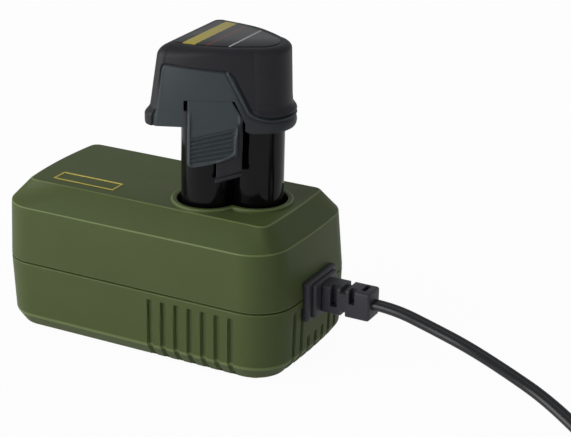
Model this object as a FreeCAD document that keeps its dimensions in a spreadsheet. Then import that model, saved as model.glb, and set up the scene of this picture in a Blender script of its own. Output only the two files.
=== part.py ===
import FreeCAD, Part
import math
import os
import re
import Sketcher
from FreeCAD import Placement, Rotation, Vector

# A mains charger for a three-cell tool battery, with the battery standing in its socket.
# Millimetres, +Z up, +X towards the mains lead, the long front side faces -Y.
# The origin is on the surface the charger stands on, under the middle of its case.

doc = FreeCAD.newDocument("BatteryCharger")
sheet = doc.addObject("Spreadsheet::Sheet", "Sizes")

driving_sizes = [
    # Charger case
    ("case_length", 129.0), ("case_width", 71.2), ("case_height", 62.3),
    ("seam_height", 30.0), ("hip_height", 53.8), ("case_wall", 2.2),
    ("left_corner", 14.0), ("right_corner", 16.0), ("top_corner", 4.0),
    ("left_bow", 195.0), ("right_bow", 330.0),
    ("upper_draft", 0.6), ("upper_draft_right", 2.3),
    ("hip_inset", 10.3), ("hip_inset_end", 7.9),
    ("lower_draft", 0.5), ("lower_draft_left", 1.5),
    ("base_chamfer", 5.4), ("base_inset", 3.8),
    ("seam_groove", 0.4), ("tongue_depth", 1.6), ("tongue_wall", 1.0),
    ("foot_height", 1.2), ("foot_radius", 5.0),
    ("grip_count", 7.0), ("grip_pitch", 6.03), ("grip_width", 2.2), ("grip_depth", 1.0),
    ("grip_first_x", 8.6), ("grip_below_seam", 3.2), ("end_grip_short", 12.5),
    # Case fasteners
    ("boss_x", 50.0), ("boss_y", 24.0), ("boss_radius", 3.6), ("screw_radius", 1.5),
    ("screw_head_radius", 2.8), ("screw_head_height", 1.8), ("screw_grip", 14.0),
    ("screw_bite", 9.0),
    # Socket
    ("battery_x", 25.7), ("cell_spacing", 19.0), ("stalk_radius", 10.65),
    ("socket_gap", 1.65), ("rim_width", 2.1), ("rim_height", 1.2),
    ("well_wall", 1.5), ("well_depth", 25.0), ("well_floor", 1.8), ("seat_gap", 0.3),
    ("well_flange", 5.5), ("well_flange_thickness", 1.6),
    ("well_boss_radius", 2.2), ("well_boss_reach", 3.4), ("well_screw_head", 3.2), ("well_screw_length", 3.2),
    ("contact_block_length", 16.0), ("contact_block_width", 14.0), ("contact_block_height", 8.0),
    ("contact_count", 4.0), ("contact_pitch", 3.2), ("contact_thickness", 0.8),
    ("contact_width", 5.0), ("contact_rise", 6.0), ("lead_radius", 0.7),
    # Circuit board and what it carries
    ("board_length", 92.0), ("board_width", 54.0), ("board_thickness", 1.6),
    ("standoff_height", 5.0), ("standoff_radius", 3.0), ("standoff_inset", 5.0),
    ("board_screw_radius", 1.1), ("board_screw_head", 2.2), ("board_screw_length", 6.0),
    ("transformer_x", -24.0), ("core_length", 26.0), ("core_width", 26.0), ("core_height", 22.0),
    ("core_depth", 14.0), ("core_leg", 4.5), ("core_middle", 6.0),
    ("input_cap_radius", 8.0), ("input_cap_height", 24.0), ("input_cap_x", -2.0), ("input_cap_y", -13.0),
    ("output_cap_radius", 4.0), ("output_cap_height", 12.0), ("output_cap_x", -6.0), ("output_cap_y", 18.0),
    ("heatsink_length", 30.0), ("heatsink_height", 24.0), ("heatsink_thickness", 2.0),
    ("heatsink_y", 20.0), ("fin_depth", 4.0), ("fin_count", 6.0),
    ("transistor_width", 10.0), ("transistor_thickness", 4.4), ("transistor_height", 15.0),
    ("rectifier_length", 15.0), ("rectifier_height", 11.0), ("rectifier_thickness", 3.6),
    ("fuse_radius", 2.6), ("fuse_length", 20.0), ("fuse_x", 27.0), ("fuse_y", -21.0),
    ("choke_radius", 7.0), ("choke_height", 8.0), ("choke_x", 34.0), ("choke_y", 14.0),
    ("terminal_length", 9.0), ("terminal_width", 11.0), ("terminal_height", 9.0), ("terminal_x", 40.0),
    # Battery, measured up from the foot of its stalk
    ("stalk_wall", 1.2), ("stalk_floor", 1.5), ("stalk_height", 66.0),
    ("cell_radius", 9.2), ("cell_height", 65.2), ("cell_lift", 8.5),
    ("skirt_rise", 59.3), ("brim_drop", 4.4), ("cap_top_rise", 89.2), ("cap_wall", 1.8),
    ("flare_rise", 64.4), ("flare_height", 2.8), ("cap_round", 4.0),
    ("cap_back", 23.9), ("cap_half_width", 30.6), ("cap_corner", 5.5),
    ("cap_apex", 10.5), ("cap_apex_radius", 15.8), ("flare", 1.3), ("cap_taper", 2.2),
    ("split_rise", 81.5), ("split_back", 20.5), ("split_front", 8.0), ("split_brim", 17.0),
    ("brim_rise", 63.5), ("parting_gap", 0.3),
    ("strip_thickness", 0.3), ("strip_width", 6.0), ("spacer_height", 5.0),
    ("protection_board_thickness", 1.2), ("terminal_blade", 0.8),
    ("label_thickness", 0.3), ("label_inset", 2.6),
    ("pack_screw_radius", 1.2), ("pack_screw_length", 9.0),
    # Release latches on the flanks of the cap
    ("flank_angle", 28.0), ("latch_left", 17.2), ("latch_right", 3.6), ("latch_right_top", 3.9),
    ("latch_top_rise", 69.0), ("latch_length", 25.3), ("latch_slant", 2.7), ("latch_bend_rise", 57.9),
    ("latch_gap", 1.5), ("latch_root_gap", 0.3), ("latch_travel", 0.7),
    ("rib_count", 6.0), ("rib_pitch", 1.9), ("rib_height", 0.5),
    ("border_width", 1.1), ("border_top_rise", 61.0),
    ("hook_width", 10.0), ("hook_side", -1.0), ("hook_length", 7.0),
    ("hook_lip", 1.0), ("hook_lip_height", 1.6), ("hook_thickness", 1.1),
    # Mains lead
    ("relief_height", 29.0), ("flange_width", 25.0), ("flange_height", 16.4), ("flange_thickness", 3.0),
    ("neck_width", 7.4), ("neck_height", 8.0), ("segment_width", 10.0), ("segment_height", 11.6),
    ("segment_gap", 2.5), ("segment_length", 4.9), ("fit_gap", 0.2), ("cord_exit", 88.8),
    ("cord_diameter", 4.6), ("cord_width", 5.8), ("coil_outer", 46.0), ("coil_inner", 25.5),
    ("coil_layer", 3.2), ("coil_height", 7.4), ("coil_x", 229.0), ("coil_y", 1.0),
    ("tie_width", 10.0), ("tie_thickness", 0.9),
    ("plug_length", 36.0), ("plug_width", 35.3), ("plug_height", 13.7),
    ("plug_taper", 14.0), ("plug_sleeve", 9.0),
    ("plug_beside", 67.0), ("pin_radius", 2.0), ("pin_length", 19.0), ("pin_pitch", 18.6),
]
for row, (alias, number) in enumerate(driving_sizes, start=1):
    sheet.set("A%d" % row, alias)
    sheet.set("B%d" % row, str(number))
    sheet.setAlias("B%d" % row, alias)
doc.recompute()

aliases = [alias for alias, number in driving_sizes]
parts_out = []


def size(alias):
    return float(sheet.get(alias))


# Heights that stack up from the driving sizes
floor_top = size("foot_height") + size("case_wall")
board_bottom = floor_top + size("standoff_height")
board_top = board_bottom + size("board_thickness")
well_bottom = size("case_height") - size("well_depth") - size("well_floor")
stalk_foot = size("case_height") - size("well_depth") + size("seat_gap")
lobe_reach = size("cell_spacing") / math.sqrt(3)


def linked(text):
    # Turns sheet names in a formula into references to the sheet's cells.
    def named(found):
        word = found.group(0)
        return "Sizes." + word if word in aliases else word
    return re.sub(r"[a-z][a-z_]+", named, text)


def bind(thing, **formulas):
    for name, text in formulas.items():
        thing.setExpression(name, linked(text))


def place(thing, x="0", y="0", z="0"):
    thing.setExpression("Placement.Base.x", linked(x))
    thing.setExpression("Placement.Base.y", linked(y))
    thing.setExpression("Placement.Base.z", linked(z))
    return thing


def block(name, length, width, height, x, y, z):
    # A box given by its sizes and its lowest corner.
    thing = doc.addObject("Part::Box", name)
    bind(thing, Length=length, Width=width, Height=height)
    return place(thing, x, y, z)


def rod(name, radius, height, x, y, z):
    thing = doc.addObject("Part::Cylinder", name)
    bind(thing, Radius=radius, Height=height)
    return place(thing, x, y, z)


def joined(name, pieces):
    thing = doc.addObject("Part::MultiFuse", name)
    thing.Shapes = pieces
    thing.Refine = True
    return thing


def cut(name, base, tool):
    thing = doc.addObject("Part::Cut", name)
    thing.Base = base
    thing.Tool = tool
    return thing


def grouped(name, pieces):
    # Separate solids that share one node, such as a set of screws.
    thing = doc.addObject("Part::Compound", name)
    thing.Links = pieces
    return thing


def shaped(name, shape):
    thing = doc.addObject("Part::Feature", name)
    thing.Shape = shape
    return thing


def finished(thing):
    parts_out.append(thing)
    return thing


def origin_plane(body, role):
    return [f for f in body.Origin.OriginFeatures if f.Role == role][0]


def sketch_on(body, name, role, lift="0"):
    sketch = body.newObject("Sketcher::SketchObject", name)
    sketch.AttachmentSupport = (origin_plane(body, role), [""])
    sketch.MapMode = "FlatFace"
    sketch.setExpression("AttachmentOffset.Base.z", linked(lift))
    return sketch


def drive(sketch, constraint, formula):
    number = sketch.addConstraint(constraint)
    sketch.setExpression("Constraints[%d]" % number, linked(formula))


def rectangle(sketch, left, low, width, height):
    first = sketch.GeometryCount
    corners = [Vector(0, 0, 0), Vector(10, 0, 0), Vector(10, 10, 0), Vector(0, 10, 0)]
    for i in range(4):
        sketch.addGeometry(Part.LineSegment(corners[i], corners[(i + 1) % 4]))
    for i in range(4):
        sketch.addConstraint(Sketcher.Constraint("Coincident", first + i, 2, first + (i + 1) % 4, 1))
    for i, way in enumerate(("Horizontal", "Vertical", "Horizontal", "Vertical")):
        sketch.addConstraint(Sketcher.Constraint(way, first + i))
    drive(sketch, Sketcher.Constraint("DistanceX", first, 1, first, 2, 10.0), width)
    drive(sketch, Sketcher.Constraint("DistanceY", first + 1, 1, first + 1, 2, 10.0), height)
    drive(sketch, Sketcher.Constraint("DistanceX", -1, 1, first, 1, 1.0), left)
    drive(sketch, Sketcher.Constraint("DistanceY", -1, 1, first, 1, 1.0), low)


def ring(sketch, x, y, radius):
    number = sketch.addGeometry(Part.Circle(Vector(1, 1, 0), Vector(0, 0, 1), 1.0))
    drive(sketch, Sketcher.Constraint("Radius", number, 1.0), radius)
    drive(sketch, Sketcher.Constraint("DistanceX", -1, 1, number, 3, 1.0), x)
    drive(sketch, Sketcher.Constraint("DistanceY", -1, 1, number, 3, 1.0), y)


def padded(body, sketch, length):
    feature = body.newObject("PartDesign::Pad", sketch.Name + "Pad")
    feature.Profile = sketch
    bind(feature, Length=length)
    return feature


def pocketed(body, sketch, length):
    feature = body.newObject("PartDesign::Pocket", sketch.Name + "Pocket")
    feature.Profile = sketch
    bind(feature, Length=length)
    feature.Reversed = True
    return feature


def plate_body(name, x, y, z, length, width, height):
    # A padded rectangle whose lowest corner is at x, y, z.
    body = doc.addObject("PartDesign::Body", name)
    sketch = sketch_on(body, name + "_outline", "XY_Plane", z)
    rectangle(sketch, x, y, length, width)
    padded(body, sketch, height)
    return body


def disc_body(name, x, y, z, radius, height):
    body = doc.addObject("PartDesign::Body", name)
    sketch = sketch_on(body, name + "_outline", "XY_Plane", z)
    ring(sketch, x, y, radius)
    padded(body, sketch, height)
    return body


def turned(profile):
    # Revolves a closed profile of (radius, height) points about Z.
    points = [Vector(r, 0, z) for r, z in profile]
    face = Part.Face(Part.makePolygon(points + points[:1]))
    return face.revolve(Vector(0, 0, 0), Vector(0, 0, 1), 360)


def at(shape, x, y, z):
    moved = shape.copy()
    moved.translate(Vector(x, y, z))
    return moved


def bowed_outline(left, right, half_width, left_corner, right_corner, z, bow_change=0.0):
    # A rectangle with bowed ends and rounded corners, as a closed wire at height z.
    left_bow = size("left_bow") - bow_change
    right_bow = size("right_bow") - bow_change
    left_centre = left + left_bow
    right_centre = right - right_bow
    left_x = left_centre - math.sqrt((left_bow - left_corner) ** 2 - (half_width - left_corner) ** 2)
    right_x = right_centre + math.sqrt((right_bow - right_corner) ** 2 - (half_width - right_corner) ** 2)
    left_lean = math.asin((half_width - left_corner) / (left_bow - left_corner))
    right_lean = math.asin((half_width - right_corner) / (right_bow - right_corner))

    def left_arc(side, angle):
        return Vector(left_x - left_corner * math.cos(angle),
                      side * (half_width - left_corner + left_corner * math.sin(angle)), z)

    def right_arc(side, angle):
        return Vector(right_x + right_corner * math.cos(angle),
                      side * (half_width - right_corner + right_corner * math.sin(angle)), z)

    quarter = math.pi / 2
    left_mid = (left_lean + quarter) / 2
    right_mid = (right_lean + quarter) / 2
    edges = [
        Part.LineSegment(left_arc(-1, quarter), right_arc(-1, quarter)),
        Part.Arc(right_arc(-1, quarter), right_arc(-1, right_mid), right_arc(-1, right_lean)),
        Part.Arc(right_arc(-1, right_lean), Vector(right, 0, z), right_arc(1, right_lean)),
        Part.Arc(right_arc(1, right_lean), right_arc(1, right_mid), right_arc(1, quarter)),
        Part.LineSegment(right_arc(1, quarter), left_arc(1, quarter)),
        Part.Arc(left_arc(1, quarter), left_arc(1, left_mid), left_arc(1, left_lean)),
        Part.Arc(left_arc(1, left_lean), Vector(left, 0, z), left_arc(-1, left_lean)),
        Part.Arc(left_arc(-1, left_lean), left_arc(-1, left_mid), left_arc(-1, quarter)),
    ]
    return Part.Wire([edge.toShape() for edge in edges])


def case_outline(z, inset_left=0.0, inset_right=0.0, inset_side=0.0, corner_cut=0.0):
    half_length = size("case_length") / 2
    return bowed_outline(-half_length + inset_left, half_length - inset_right,
                         size("case_width") / 2 - inset_side,
                         size("left_corner") - corner_cut, size("right_corner") - corner_cut,
                         z, corner_cut)


def top_outline(z, inset):
    # The flat top's outline, set in past the sloping hips.
    half_length = size("case_length") / 2
    run_in = size("upper_draft") + size("hip_inset_end") + inset
    run_in_right = size("upper_draft_right") + size("hip_inset_end") + inset
    half_width = size("case_width") / 2 - size("upper_draft") - size("hip_inset") - inset
    corner = max(size("top_corner") - inset, 0.5)
    return bowed_outline(-half_length + run_in, half_length - run_in_right, half_width,
                         corner, corner, z, 10.0)


def loft(wires):
    return Part.makeLoft(wires, True, True)


def upper_form(inset):
    # The upper shell's outer form, or with an inset the room inside it.
    hip_rise = size("case_height") - size("hip_height")
    slope = math.atan2(size("hip_inset"), hip_rise)
    hip_drop = inset * math.tan(slope / 2)
    top_shift = inset * math.tan((math.pi / 2 - slope) / 2)
    seam = size("seam_height")
    groove = 0.0 if inset else size("seam_groove")
    sections = [case_outline(seam, inset + groove, inset + groove, inset + groove, inset + groove)]
    if not inset:
        sections.append(case_outline(seam + groove))
    sections.append(case_outline(size("hip_height") - hip_drop,
                                 size("upper_draft") + inset, size("upper_draft_right") + inset,
                                 size("upper_draft") + inset, inset + size("upper_draft")))
    sections.append(top_outline(size("case_height") - inset, top_shift))
    return loft(sections)


def lower_form(inset):
    # The lower shell's outer form, or with an inset the room inside it.
    seam = size("seam_height")
    low = size("foot_height")
    bend = low + size("base_chamfer")
    side = size("lower_draft")
    left = size("lower_draft_left")
    cut_in = size("base_inset")
    turn = math.atan2(cut_in, size("base_chamfer"))
    bend_shift = inset * math.tan(turn / 2)
    base_shift = inset * math.tan((math.pi / 2 - turn) / 2)
    groove = 0.0 if inset else size("seam_groove")
    sections = [
        case_outline(low + inset, left + cut_in + base_shift, side + cut_in + base_shift,
                     side + cut_in + base_shift, cut_in + base_shift),
        case_outline(bend + bend_shift, left + inset, side + inset, side + inset, inset),
    ]
    if not inset:
        sections.append(case_outline(seam - groove))
    sections.append(case_outline(seam, inset + groove, inset + groove, inset + groove, inset + groove))
    return loft(sections)


def boss_places():
    return [(sx * size("boss_x"), sy * size("boss_y")) for sx in (-1, 1) for sy in (-1, 1)]


def relief_hole(extra):
    # The room that the strain relief takes out of the case's end wall.
    end = size("case_length") / 2
    height = size("relief_height")
    half = size("flange_width") / 2 + extra
    tall = size("flange_height") / 2 + extra
    recess = Part.makeBox(10, 2 * half, 2 * tall, Vector(end - 1.2, -half, height - tall))
    neck = Part.makeBox(12, size("neck_width") + 2 * extra, size("neck_height") + 2 * extra,
                        Vector(end - 11, -size("neck_width") / 2 - extra,
                               height - size("neck_height") / 2 - extra))
    return recess.fuse(neck)


def grip_cutters():
    # Upright round-bottomed grooves along the front, the back and the lead end.
    reach = size("grip_depth")
    tall = size("seam_height") - size("grip_below_seam")
    count = int(round(size("grip_count")))
    half_width = size("case_width") / 2
    end = size("case_length") / 2
    radius = size("grip_width") / 2
    chamfer_lean = size("base_inset") / size("base_chamfer")
    cutters = []
    for i in range(count):
        x = size("grip_first_x") + i * size("grip_pitch")
        for side in (-1, 1):
            wall_cut = Part.makeBox(2 * radius, reach + 3, tall,
                                    Vector(x - radius, side * half_width - (reach + 3 if side > 0 else 0), 0))
            wall_cut.translate(Vector(0, side * 3, 0))
            base_cut = slanted_cut(x, radius, side, half_width, reach, chamfer_lean)
            cutters += [wall_cut, base_cut]
    for i in range(count):
        y = (i - (count - 1) / 2) * size("grip_pitch")
        middle = abs(i - (count - 1) / 2) < 1.5
        top = size("end_grip_short") if middle else tall
        sag = size("right_bow") - math.sqrt(size("right_bow") ** 2 - y ** 2)
        inner = end - sag - reach - size("lower_draft")
        cutters.append(Part.makeBox(8, 2 * radius, top, Vector(inner, y - radius, 0)))
    return cutters


def slanted_cut(x, radius, side, half_width, reach, lean):
    # Carries a front groove on down the chamfer at the foot of the wall.
    low = size("foot_height")
    bend = low + size("base_chamfer")
    outer = half_width + 2
    depth = reach
    top_y = half_width - size("lower_draft") - depth
    base_y = top_y - size("base_inset")
    points = [Vector(x - radius, side * top_y, bend), Vector(x - radius, side * outer, bend),
              Vector(x - radius, side * outer, low - 1), Vector(x - radius, side * (base_y - lean), low - 1)]
    face = Part.Face(Part.makePolygon(points + points[:1]))
    return face.extrude(Vector(2 * radius, 0, 0))


def make_lower_shell():
    shell = lower_form(0.0).cut(lower_form(size("case_wall")))
    seam = size("seam_height")
    adds = []
    cuts = []
    for x, y in boss_places():
        adds.append(Part.makeCylinder(size("boss_radius"), seam - size("foot_height") - 0.6,
                                      Vector(x, y, size("foot_height") + 0.6)))
        cuts.append(Part.makeCylinder(size("screw_radius") + 0.2, seam + 2, Vector(x, y, -1)))
        cuts.append(Part.makeCylinder(size("screw_head_radius") + 0.3, seam - size("screw_grip") + 1,
                                      Vector(x, y, -1)))
        adds.append(Part.makeCone(size("foot_radius") - 0.8, size("foot_radius"), size("foot_height") + 0.5,
                                  Vector(x, y, 0)))
    for x, y in standoff_places():
        adds.append(Part.makeCylinder(size("standoff_radius"), size("standoff_height") + 1,
                                      Vector(x, y, floor_top - 1)))
        cuts.append(Part.makeCylinder(size("board_screw_radius"), size("board_screw_length"),
                                      Vector(x, y, board_top - size("board_screw_length"))))
    shell = shell.multiFuse(adds)
    shell = shell.cut(Part.makeCompound(cuts))
    for cutter in grip_cutters():
        shell = shell.cut(cutter)
    shell = shell.cut(relief_hole(size("fit_gap")))
    return shell.removeSplitter()


def standoff_places():
    half_length = size("board_length") / 2 - size("standoff_inset")
    half_width = size("board_width") / 2 - size("standoff_inset")
    return [(sx * half_length, sy * half_width) for sx in (-1, 1) for sy in (-1, 1)]


def lobe_centres(reach=None):
    reach = lobe_reach if reach is None else reach
    centre = size("battery_x")
    return [Vector(centre + reach * math.cos(math.radians(a)), reach * math.sin(math.radians(a)), 0)
            for a in (0, 120, 240)]


def three_lobes(radius, low, high):
    # Three round columns with the space between them filled.
    centres = lobe_centres()
    columns = [Part.makeCylinder(radius, high - low, Vector(c.x, c.y, low)) for c in centres]
    corners = [Vector(c.x, c.y, low) for c in centres]
    middle = Part.Face(Part.makePolygon(corners + corners[:1])).extrude(Vector(0, 0, high - low))
    return columns[0].multiFuse(columns[1:] + [middle]).removeSplitter()


def make_upper_shell():
    form = upper_form(0.0)
    shell = form.cut(upper_form(size("case_wall")))
    seam = size("seam_height")
    wall = size("case_wall")
    gap = size("fit_gap")
    top = size("case_height")
    bosses = [Part.makeCylinder(size("boss_radius"), top - seam, Vector(x, y, seam))
              for x, y in boss_places()]
    shell = shell.multiFuse([boss.common(form) for boss in bosses])
    tongue_out = wall + gap
    tongue_in = tongue_out + size("tongue_wall")
    outer = [case_outline(z, tongue_out, tongue_out, tongue_out, tongue_out)
             for z in (seam - size("tongue_depth"), seam + 2)]
    inner = [case_outline(z, tongue_in, tongue_in, tongue_in, tongue_in)
             for z in (seam - size("tongue_depth") - 1, seam + 3)]
    shoulder_out = [case_outline(z, wall - 0.5, wall - 0.5, wall - 0.5, wall - 0.5) for z in (seam, seam + 2)]
    tongue = loft(outer).cut(loft(inner))
    shoulder = loft(shoulder_out).cut(loft(inner))
    shell = shell.fuse(tongue).fuse(shoulder)
    rim_radius = size("stalk_radius") + size("socket_gap")
    rim = three_lobes(rim_radius + size("rim_width"), top - wall, top + size("rim_height"))
    shell = shell.fuse(rim)
    shell = shell.cut(three_lobes(rim_radius, top - wall - 2, top + size("rim_height") + 1))
    pilot = size("screw_radius") - 0.1
    pilots = [Part.makeCylinder(pilot, size("screw_bite") + 1, Vector(x, y, seam - 1))
              for x, y in boss_places()]
    shell = shell.cut(Part.makeCompound(pilots))
    shell = shell.cut(relief_hole(gap))
    seat = well_screw_seat()
    well_bosses = [Part.makeCylinder(size("well_boss_radius"), top - wall / 2 - seat, Vector(x, y, seat))
                   for x, y in well_screw_places()]
    shell = shell.multiFuse(well_bosses)
    bores = [Part.makeCylinder(size("board_screw_radius"), size("well_screw_length") + 0.2, Vector(x, y, seat))
             for x, y in well_screw_places()]
    shell = shell.cut(Part.makeCompound(bores))
    shell = shell.cut(badge_shape(0.1, 0.6, 1.0))
    return shell.removeSplitter()


def badge_shape(extra, depth, rise=0.0):
    # A plate let into the flat top, near its left front corner.
    half_length = 14.6 + extra
    half_width = 4.5 + extra
    centre = Vector(-31.8, -15.6, 0)
    low = size("case_height") - depth
    plate = Part.makeBox(2 * half_length, 2 * half_width, depth + rise,
                         Vector(centre.x - half_length, centre.y - half_width, low))
    edges = [e for e in plate.Edges if abs(e.Vertexes[0].Z - e.Vertexes[1].Z) > depth / 2]
    return plate.makeFillet(0.8, edges)


def make_socket_well():
    # A three-lobed cup that hangs under the socket's rim and guides the battery.
    top = size("case_height") - size("case_wall")
    inner = size("stalk_radius") + size("socket_gap")
    outer = inner + size("well_wall")
    cup = three_lobes(outer, well_bottom, top)
    flange = three_lobes(outer + size("well_flange"), top - size("well_flange_thickness"), top)
    cup = cup.fuse(flange).cut(three_lobes(inner, well_bottom + size("well_floor"), top + 1))
    thick, wide = size("contact_thickness") + 0.4, size("contact_width") + 0.4
    slots = [at(Part.makeBox(thick, wide, size("well_floor") + 2), x - thick / 2, -wide / 2, well_bottom - 1)
             for x in contact_places()]
    holes = [Part.makeCylinder(size("well_boss_radius") + size("fit_gap"), 10, Vector(x, y, top - 5))
             for x, y in well_screw_places()]
    return cup.cut(Part.makeCompound(slots + holes)).common(upper_form(size("case_wall"))).removeSplitter()


def contact_places():
    count = int(round(size("contact_count")))
    return [size("battery_x") + (i - (count - 1) / 2) * size("contact_pitch") for i in range(count)]


def well_screw_places():
    # One beside each rear lobe and two beside the front one, outside the cup.
    reach = size("stalk_radius") + size("socket_gap") + size("well_wall") + size("well_boss_reach")
    front, rear, near = lobe_centres()
    return [(c.x + reach * math.cos(math.radians(a)), c.y + reach * math.sin(math.radians(a)))
            for c, a in ((front, 60), (front, -60), (rear, 140), (near, 220))]


def well_screw_seat():
    return size("case_height") - size("case_wall") - size("well_flange_thickness") - size("fit_gap")


def make_well_screws():
    seat = well_screw_seat()
    head = size("well_screw_head")
    shank = size("board_screw_radius") - 0.1
    top = seat + size("well_screw_length")
    screw = turned([(0, seat - 1.4), (head - 1, seat - 1.4), (head, seat - 0.8), (head, seat),
                    (shank, seat), (shank, top), (0, top)])
    return Part.makeCompound([at(screw, x, y, 0) for x, y in well_screw_places()])


def make_contact_block():
    block_top = well_bottom
    low = block_top - size("contact_block_height")
    length = size("contact_block_length")
    width = size("contact_block_width")
    base = Part.makeBox(length, width, size("contact_block_height"),
                        Vector(size("battery_x") - length / 2, -width / 2, low))
    thick, wide = size("contact_thickness"), size("contact_width")
    slots = [at(Part.makeBox(thick, wide, size("contact_block_height") + 2), x - thick / 2, -wide / 2, low - 1)
             for x in contact_places()]
    return base.cut(Part.makeCompound(slots))


def make_charging_contacts():
    low = well_bottom - size("contact_block_height") - 1.5
    high = well_bottom + size("well_floor") + size("contact_rise")
    blades = []
    for x in contact_places():
        blade = Part.makeBox(size("contact_thickness"), size("contact_width"), high - low,
                             Vector(x - size("contact_thickness") / 2, -size("contact_width") / 2, low))
        top_edges = [e for e in blade.Edges if abs(e.CenterOfMass.z - high) < 0.01 and e.Length < 2]
        blades.append(blade.makeFillet(1.2, top_edges))
    return Part.makeCompound(blades)


def make_contact_leads():
    # Round wires that stand on the board and carry the block's blades.
    high = well_bottom - size("contact_block_height") - 1.5
    wires = [Part.makeCylinder(size("lead_radius"), high - board_top, Vector(x, 0, board_top))
             for x in contact_places()]
    return Part.makeCompound(wires)


def make_case_screws():
    seat = size("seam_height") - size("screw_grip")
    head = size("screw_head_radius")
    shank = size("screw_radius") - 0.1
    low = seat - size("screw_head_height")
    tip = size("seam_height") + size("screw_bite") - 0.5
    screw = turned([(0, low), (head, low), (head, seat), (shank, seat), (shank, tip), (0, tip)])
    return Part.makeCompound([at(screw, x, y, 0) for x, y in boss_places()])


def make_board_screws():
    head = size("board_screw_head")
    shank = size("board_screw_radius") - 0.05
    low = board_top - size("board_screw_length") + 0.5
    screw = turned([(0, low), (shank, low), (shank, board_top), (head, board_top),
                    (head, board_top + 1), (0, board_top + 1.6)])
    return Part.makeCompound([at(screw, x, y, 0) for x, y in standoff_places()])


def make_circuit_board():
    body = plate_body("circuit_board", "-board_length / 2", "-board_width / 2",
                      "foot_height + case_wall + standoff_height",
                      "board_length", "board_width", "board_thickness")
    holes = sketch_on(body, "board_holes", "XY_Plane", "foot_height + case_wall + standoff_height")
    for sx in ("-", "+"):
        for sy in ("-", "+"):
            ring(holes, "0 %s (board_length / 2 - standoff_inset)" % sx,
                 "0 %s (board_width / 2 - standoff_inset)" % sy, "board_screw_radius + 0.1")
    pocketed(body, holes, "board_thickness")
    return body


on_board = "foot_height + case_wall + standoff_height + board_thickness"


def make_transformer():
    # A ferrite core with a middle leg, standing on its lower arm.
    outer = block("core_outer", "core_length", "core_depth", "core_height",
                  "transformer_x - core_length / 2", "-core_depth / 2", on_board)
    wide = "core_length / 2 - core_leg - core_middle / 2"
    windows = [block("core_window_%d" % i, wide, "core_depth + 2", "core_height - 2 * core_leg", x,
                     "-core_depth / 2 - 1", on_board + " + core_leg")
               for i, x in enumerate(("transformer_x - core_length / 2 + core_leg",
                                      "transformer_x + core_middle / 2"))]
    return cut("transformer_core", outer, joined("core_windows", windows))


def make_winding():
    # The coil of wire round the core's middle leg.
    spool = block("winding_form", "core_length - 2 * core_leg - 2 * fit_gap", "core_width",
                  "core_height - 2 * core_leg", "transformer_x - core_length / 2 + core_leg + fit_gap",
                  "-core_width / 2", on_board + " + core_leg")
    leg = block("winding_bore", "core_middle", "core_depth", "core_height",
                "transformer_x - core_middle / 2", "-core_depth / 2", on_board)
    return cut("transformer_winding", spool, leg)


def make_bobbin_pins():
    pins = []
    for i in range(4):
        for side in (-1, 1):
            x = size("transformer_x") + (i - 1.5) * 3.2
            y = side * (size("core_width") / 2 - 1.5)
            pins.append(Part.makeCylinder(0.5, size("core_leg"), Vector(x, y, board_top)))
    return Part.makeCompound(pins)


def make_heat_sink():
    # An upright plate with fins on its outer face.
    body = plate_body("heat_sink", "-heatsink_length / 2 - 2", "heatsink_y", on_board,
                      "heatsink_length", "heatsink_thickness", "heatsink_height")
    fins = sketch_on(body, "heat_sink_fins", "XY_Plane", on_board)
    rectangle(fins, "-heatsink_length / 2 - 2", "heatsink_y + heatsink_thickness", "1.2", "fin_depth")
    feature = padded(body, fins, "heatsink_height")
    rows = body.newObject("PartDesign::LinearPattern", "fin_rows")
    rows.Originals = [feature]
    rows.Direction = (fins, ["H_Axis"])
    bind(rows, Length="heatsink_length - 1.2", Occurrences="fin_count")
    body.Tip = rows
    return body


def make_badge():
    # The bare plate on top: its frame stands a little proud of its field.
    plate = badge_shape(0.0, 0.6, 0.25)
    field = badge_shape(-0.9, 0.0, 1.0)
    return plate.cut(field)


finished(shaped("lower_shell", make_lower_shell()))
finished(shaped("upper_shell", make_upper_shell()))
finished(shaped("socket_well", make_socket_well()))
finished(shaped("well_screws", make_well_screws()))
finished(shaped("contact_block", make_contact_block()))
finished(shaped("charging_contacts", make_charging_contacts()))
finished(shaped("contact_leads", make_contact_leads()))
finished(shaped("case_screws", make_case_screws()))
finished(shaped("board_screws", make_board_screws()))
finished(make_circuit_board())
finished(make_transformer())
finished(make_winding())
finished(shaped("bobbin_pins", make_bobbin_pins()))
finished(disc_body("input_capacitor", "input_cap_x", "input_cap_y", on_board, "input_cap_radius",
                   "input_cap_height"))
output_caps = [disc_body("output_capacitor_%d" % (i + 1), "output_cap_x + %d" % (i * 10), "output_cap_y - 9",
                         on_board, "output_cap_radius", "output_cap_height") for i in range(2)]
finished(grouped("output_capacitors", output_caps))
finished(make_heat_sink())
finished(plate_body("power_transistor", "-transistor_width / 2 - 2", "heatsink_y - transistor_thickness",
                    on_board, "transistor_width", "transistor_thickness", "transistor_height"))
finished(plate_body("rectifier", "fuse_x - 28", "-board_width / 2 + 2", on_board,
                    "rectifier_length", "rectifier_thickness", "rectifier_height"))
finished(shaped("mains_fuse", Part.makeCylinder(
    size("fuse_radius"), size("fuse_length"),
    Vector(size("fuse_x") - size("fuse_length") / 2, size("fuse_y"), board_top + size("fuse_radius")),
    Vector(1, 0, 0))))
choke_outer = rod("choke_outer", "choke_radius", "choke_height", "choke_x", "choke_y", on_board)
choke_hole = rod("choke_hole", "choke_radius / 2.5", "choke_height + 2", "choke_x", "choke_y",
                 on_board + " - 1")
finished(cut("line_choke", choke_outer, choke_hole))
finished(plate_body("mains_terminal", "terminal_x - terminal_length / 2", "-terminal_width / 2", on_board,
                    "terminal_length", "terminal_width", "terminal_height"))
finished(shaped("name_badge", make_badge()))


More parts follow.
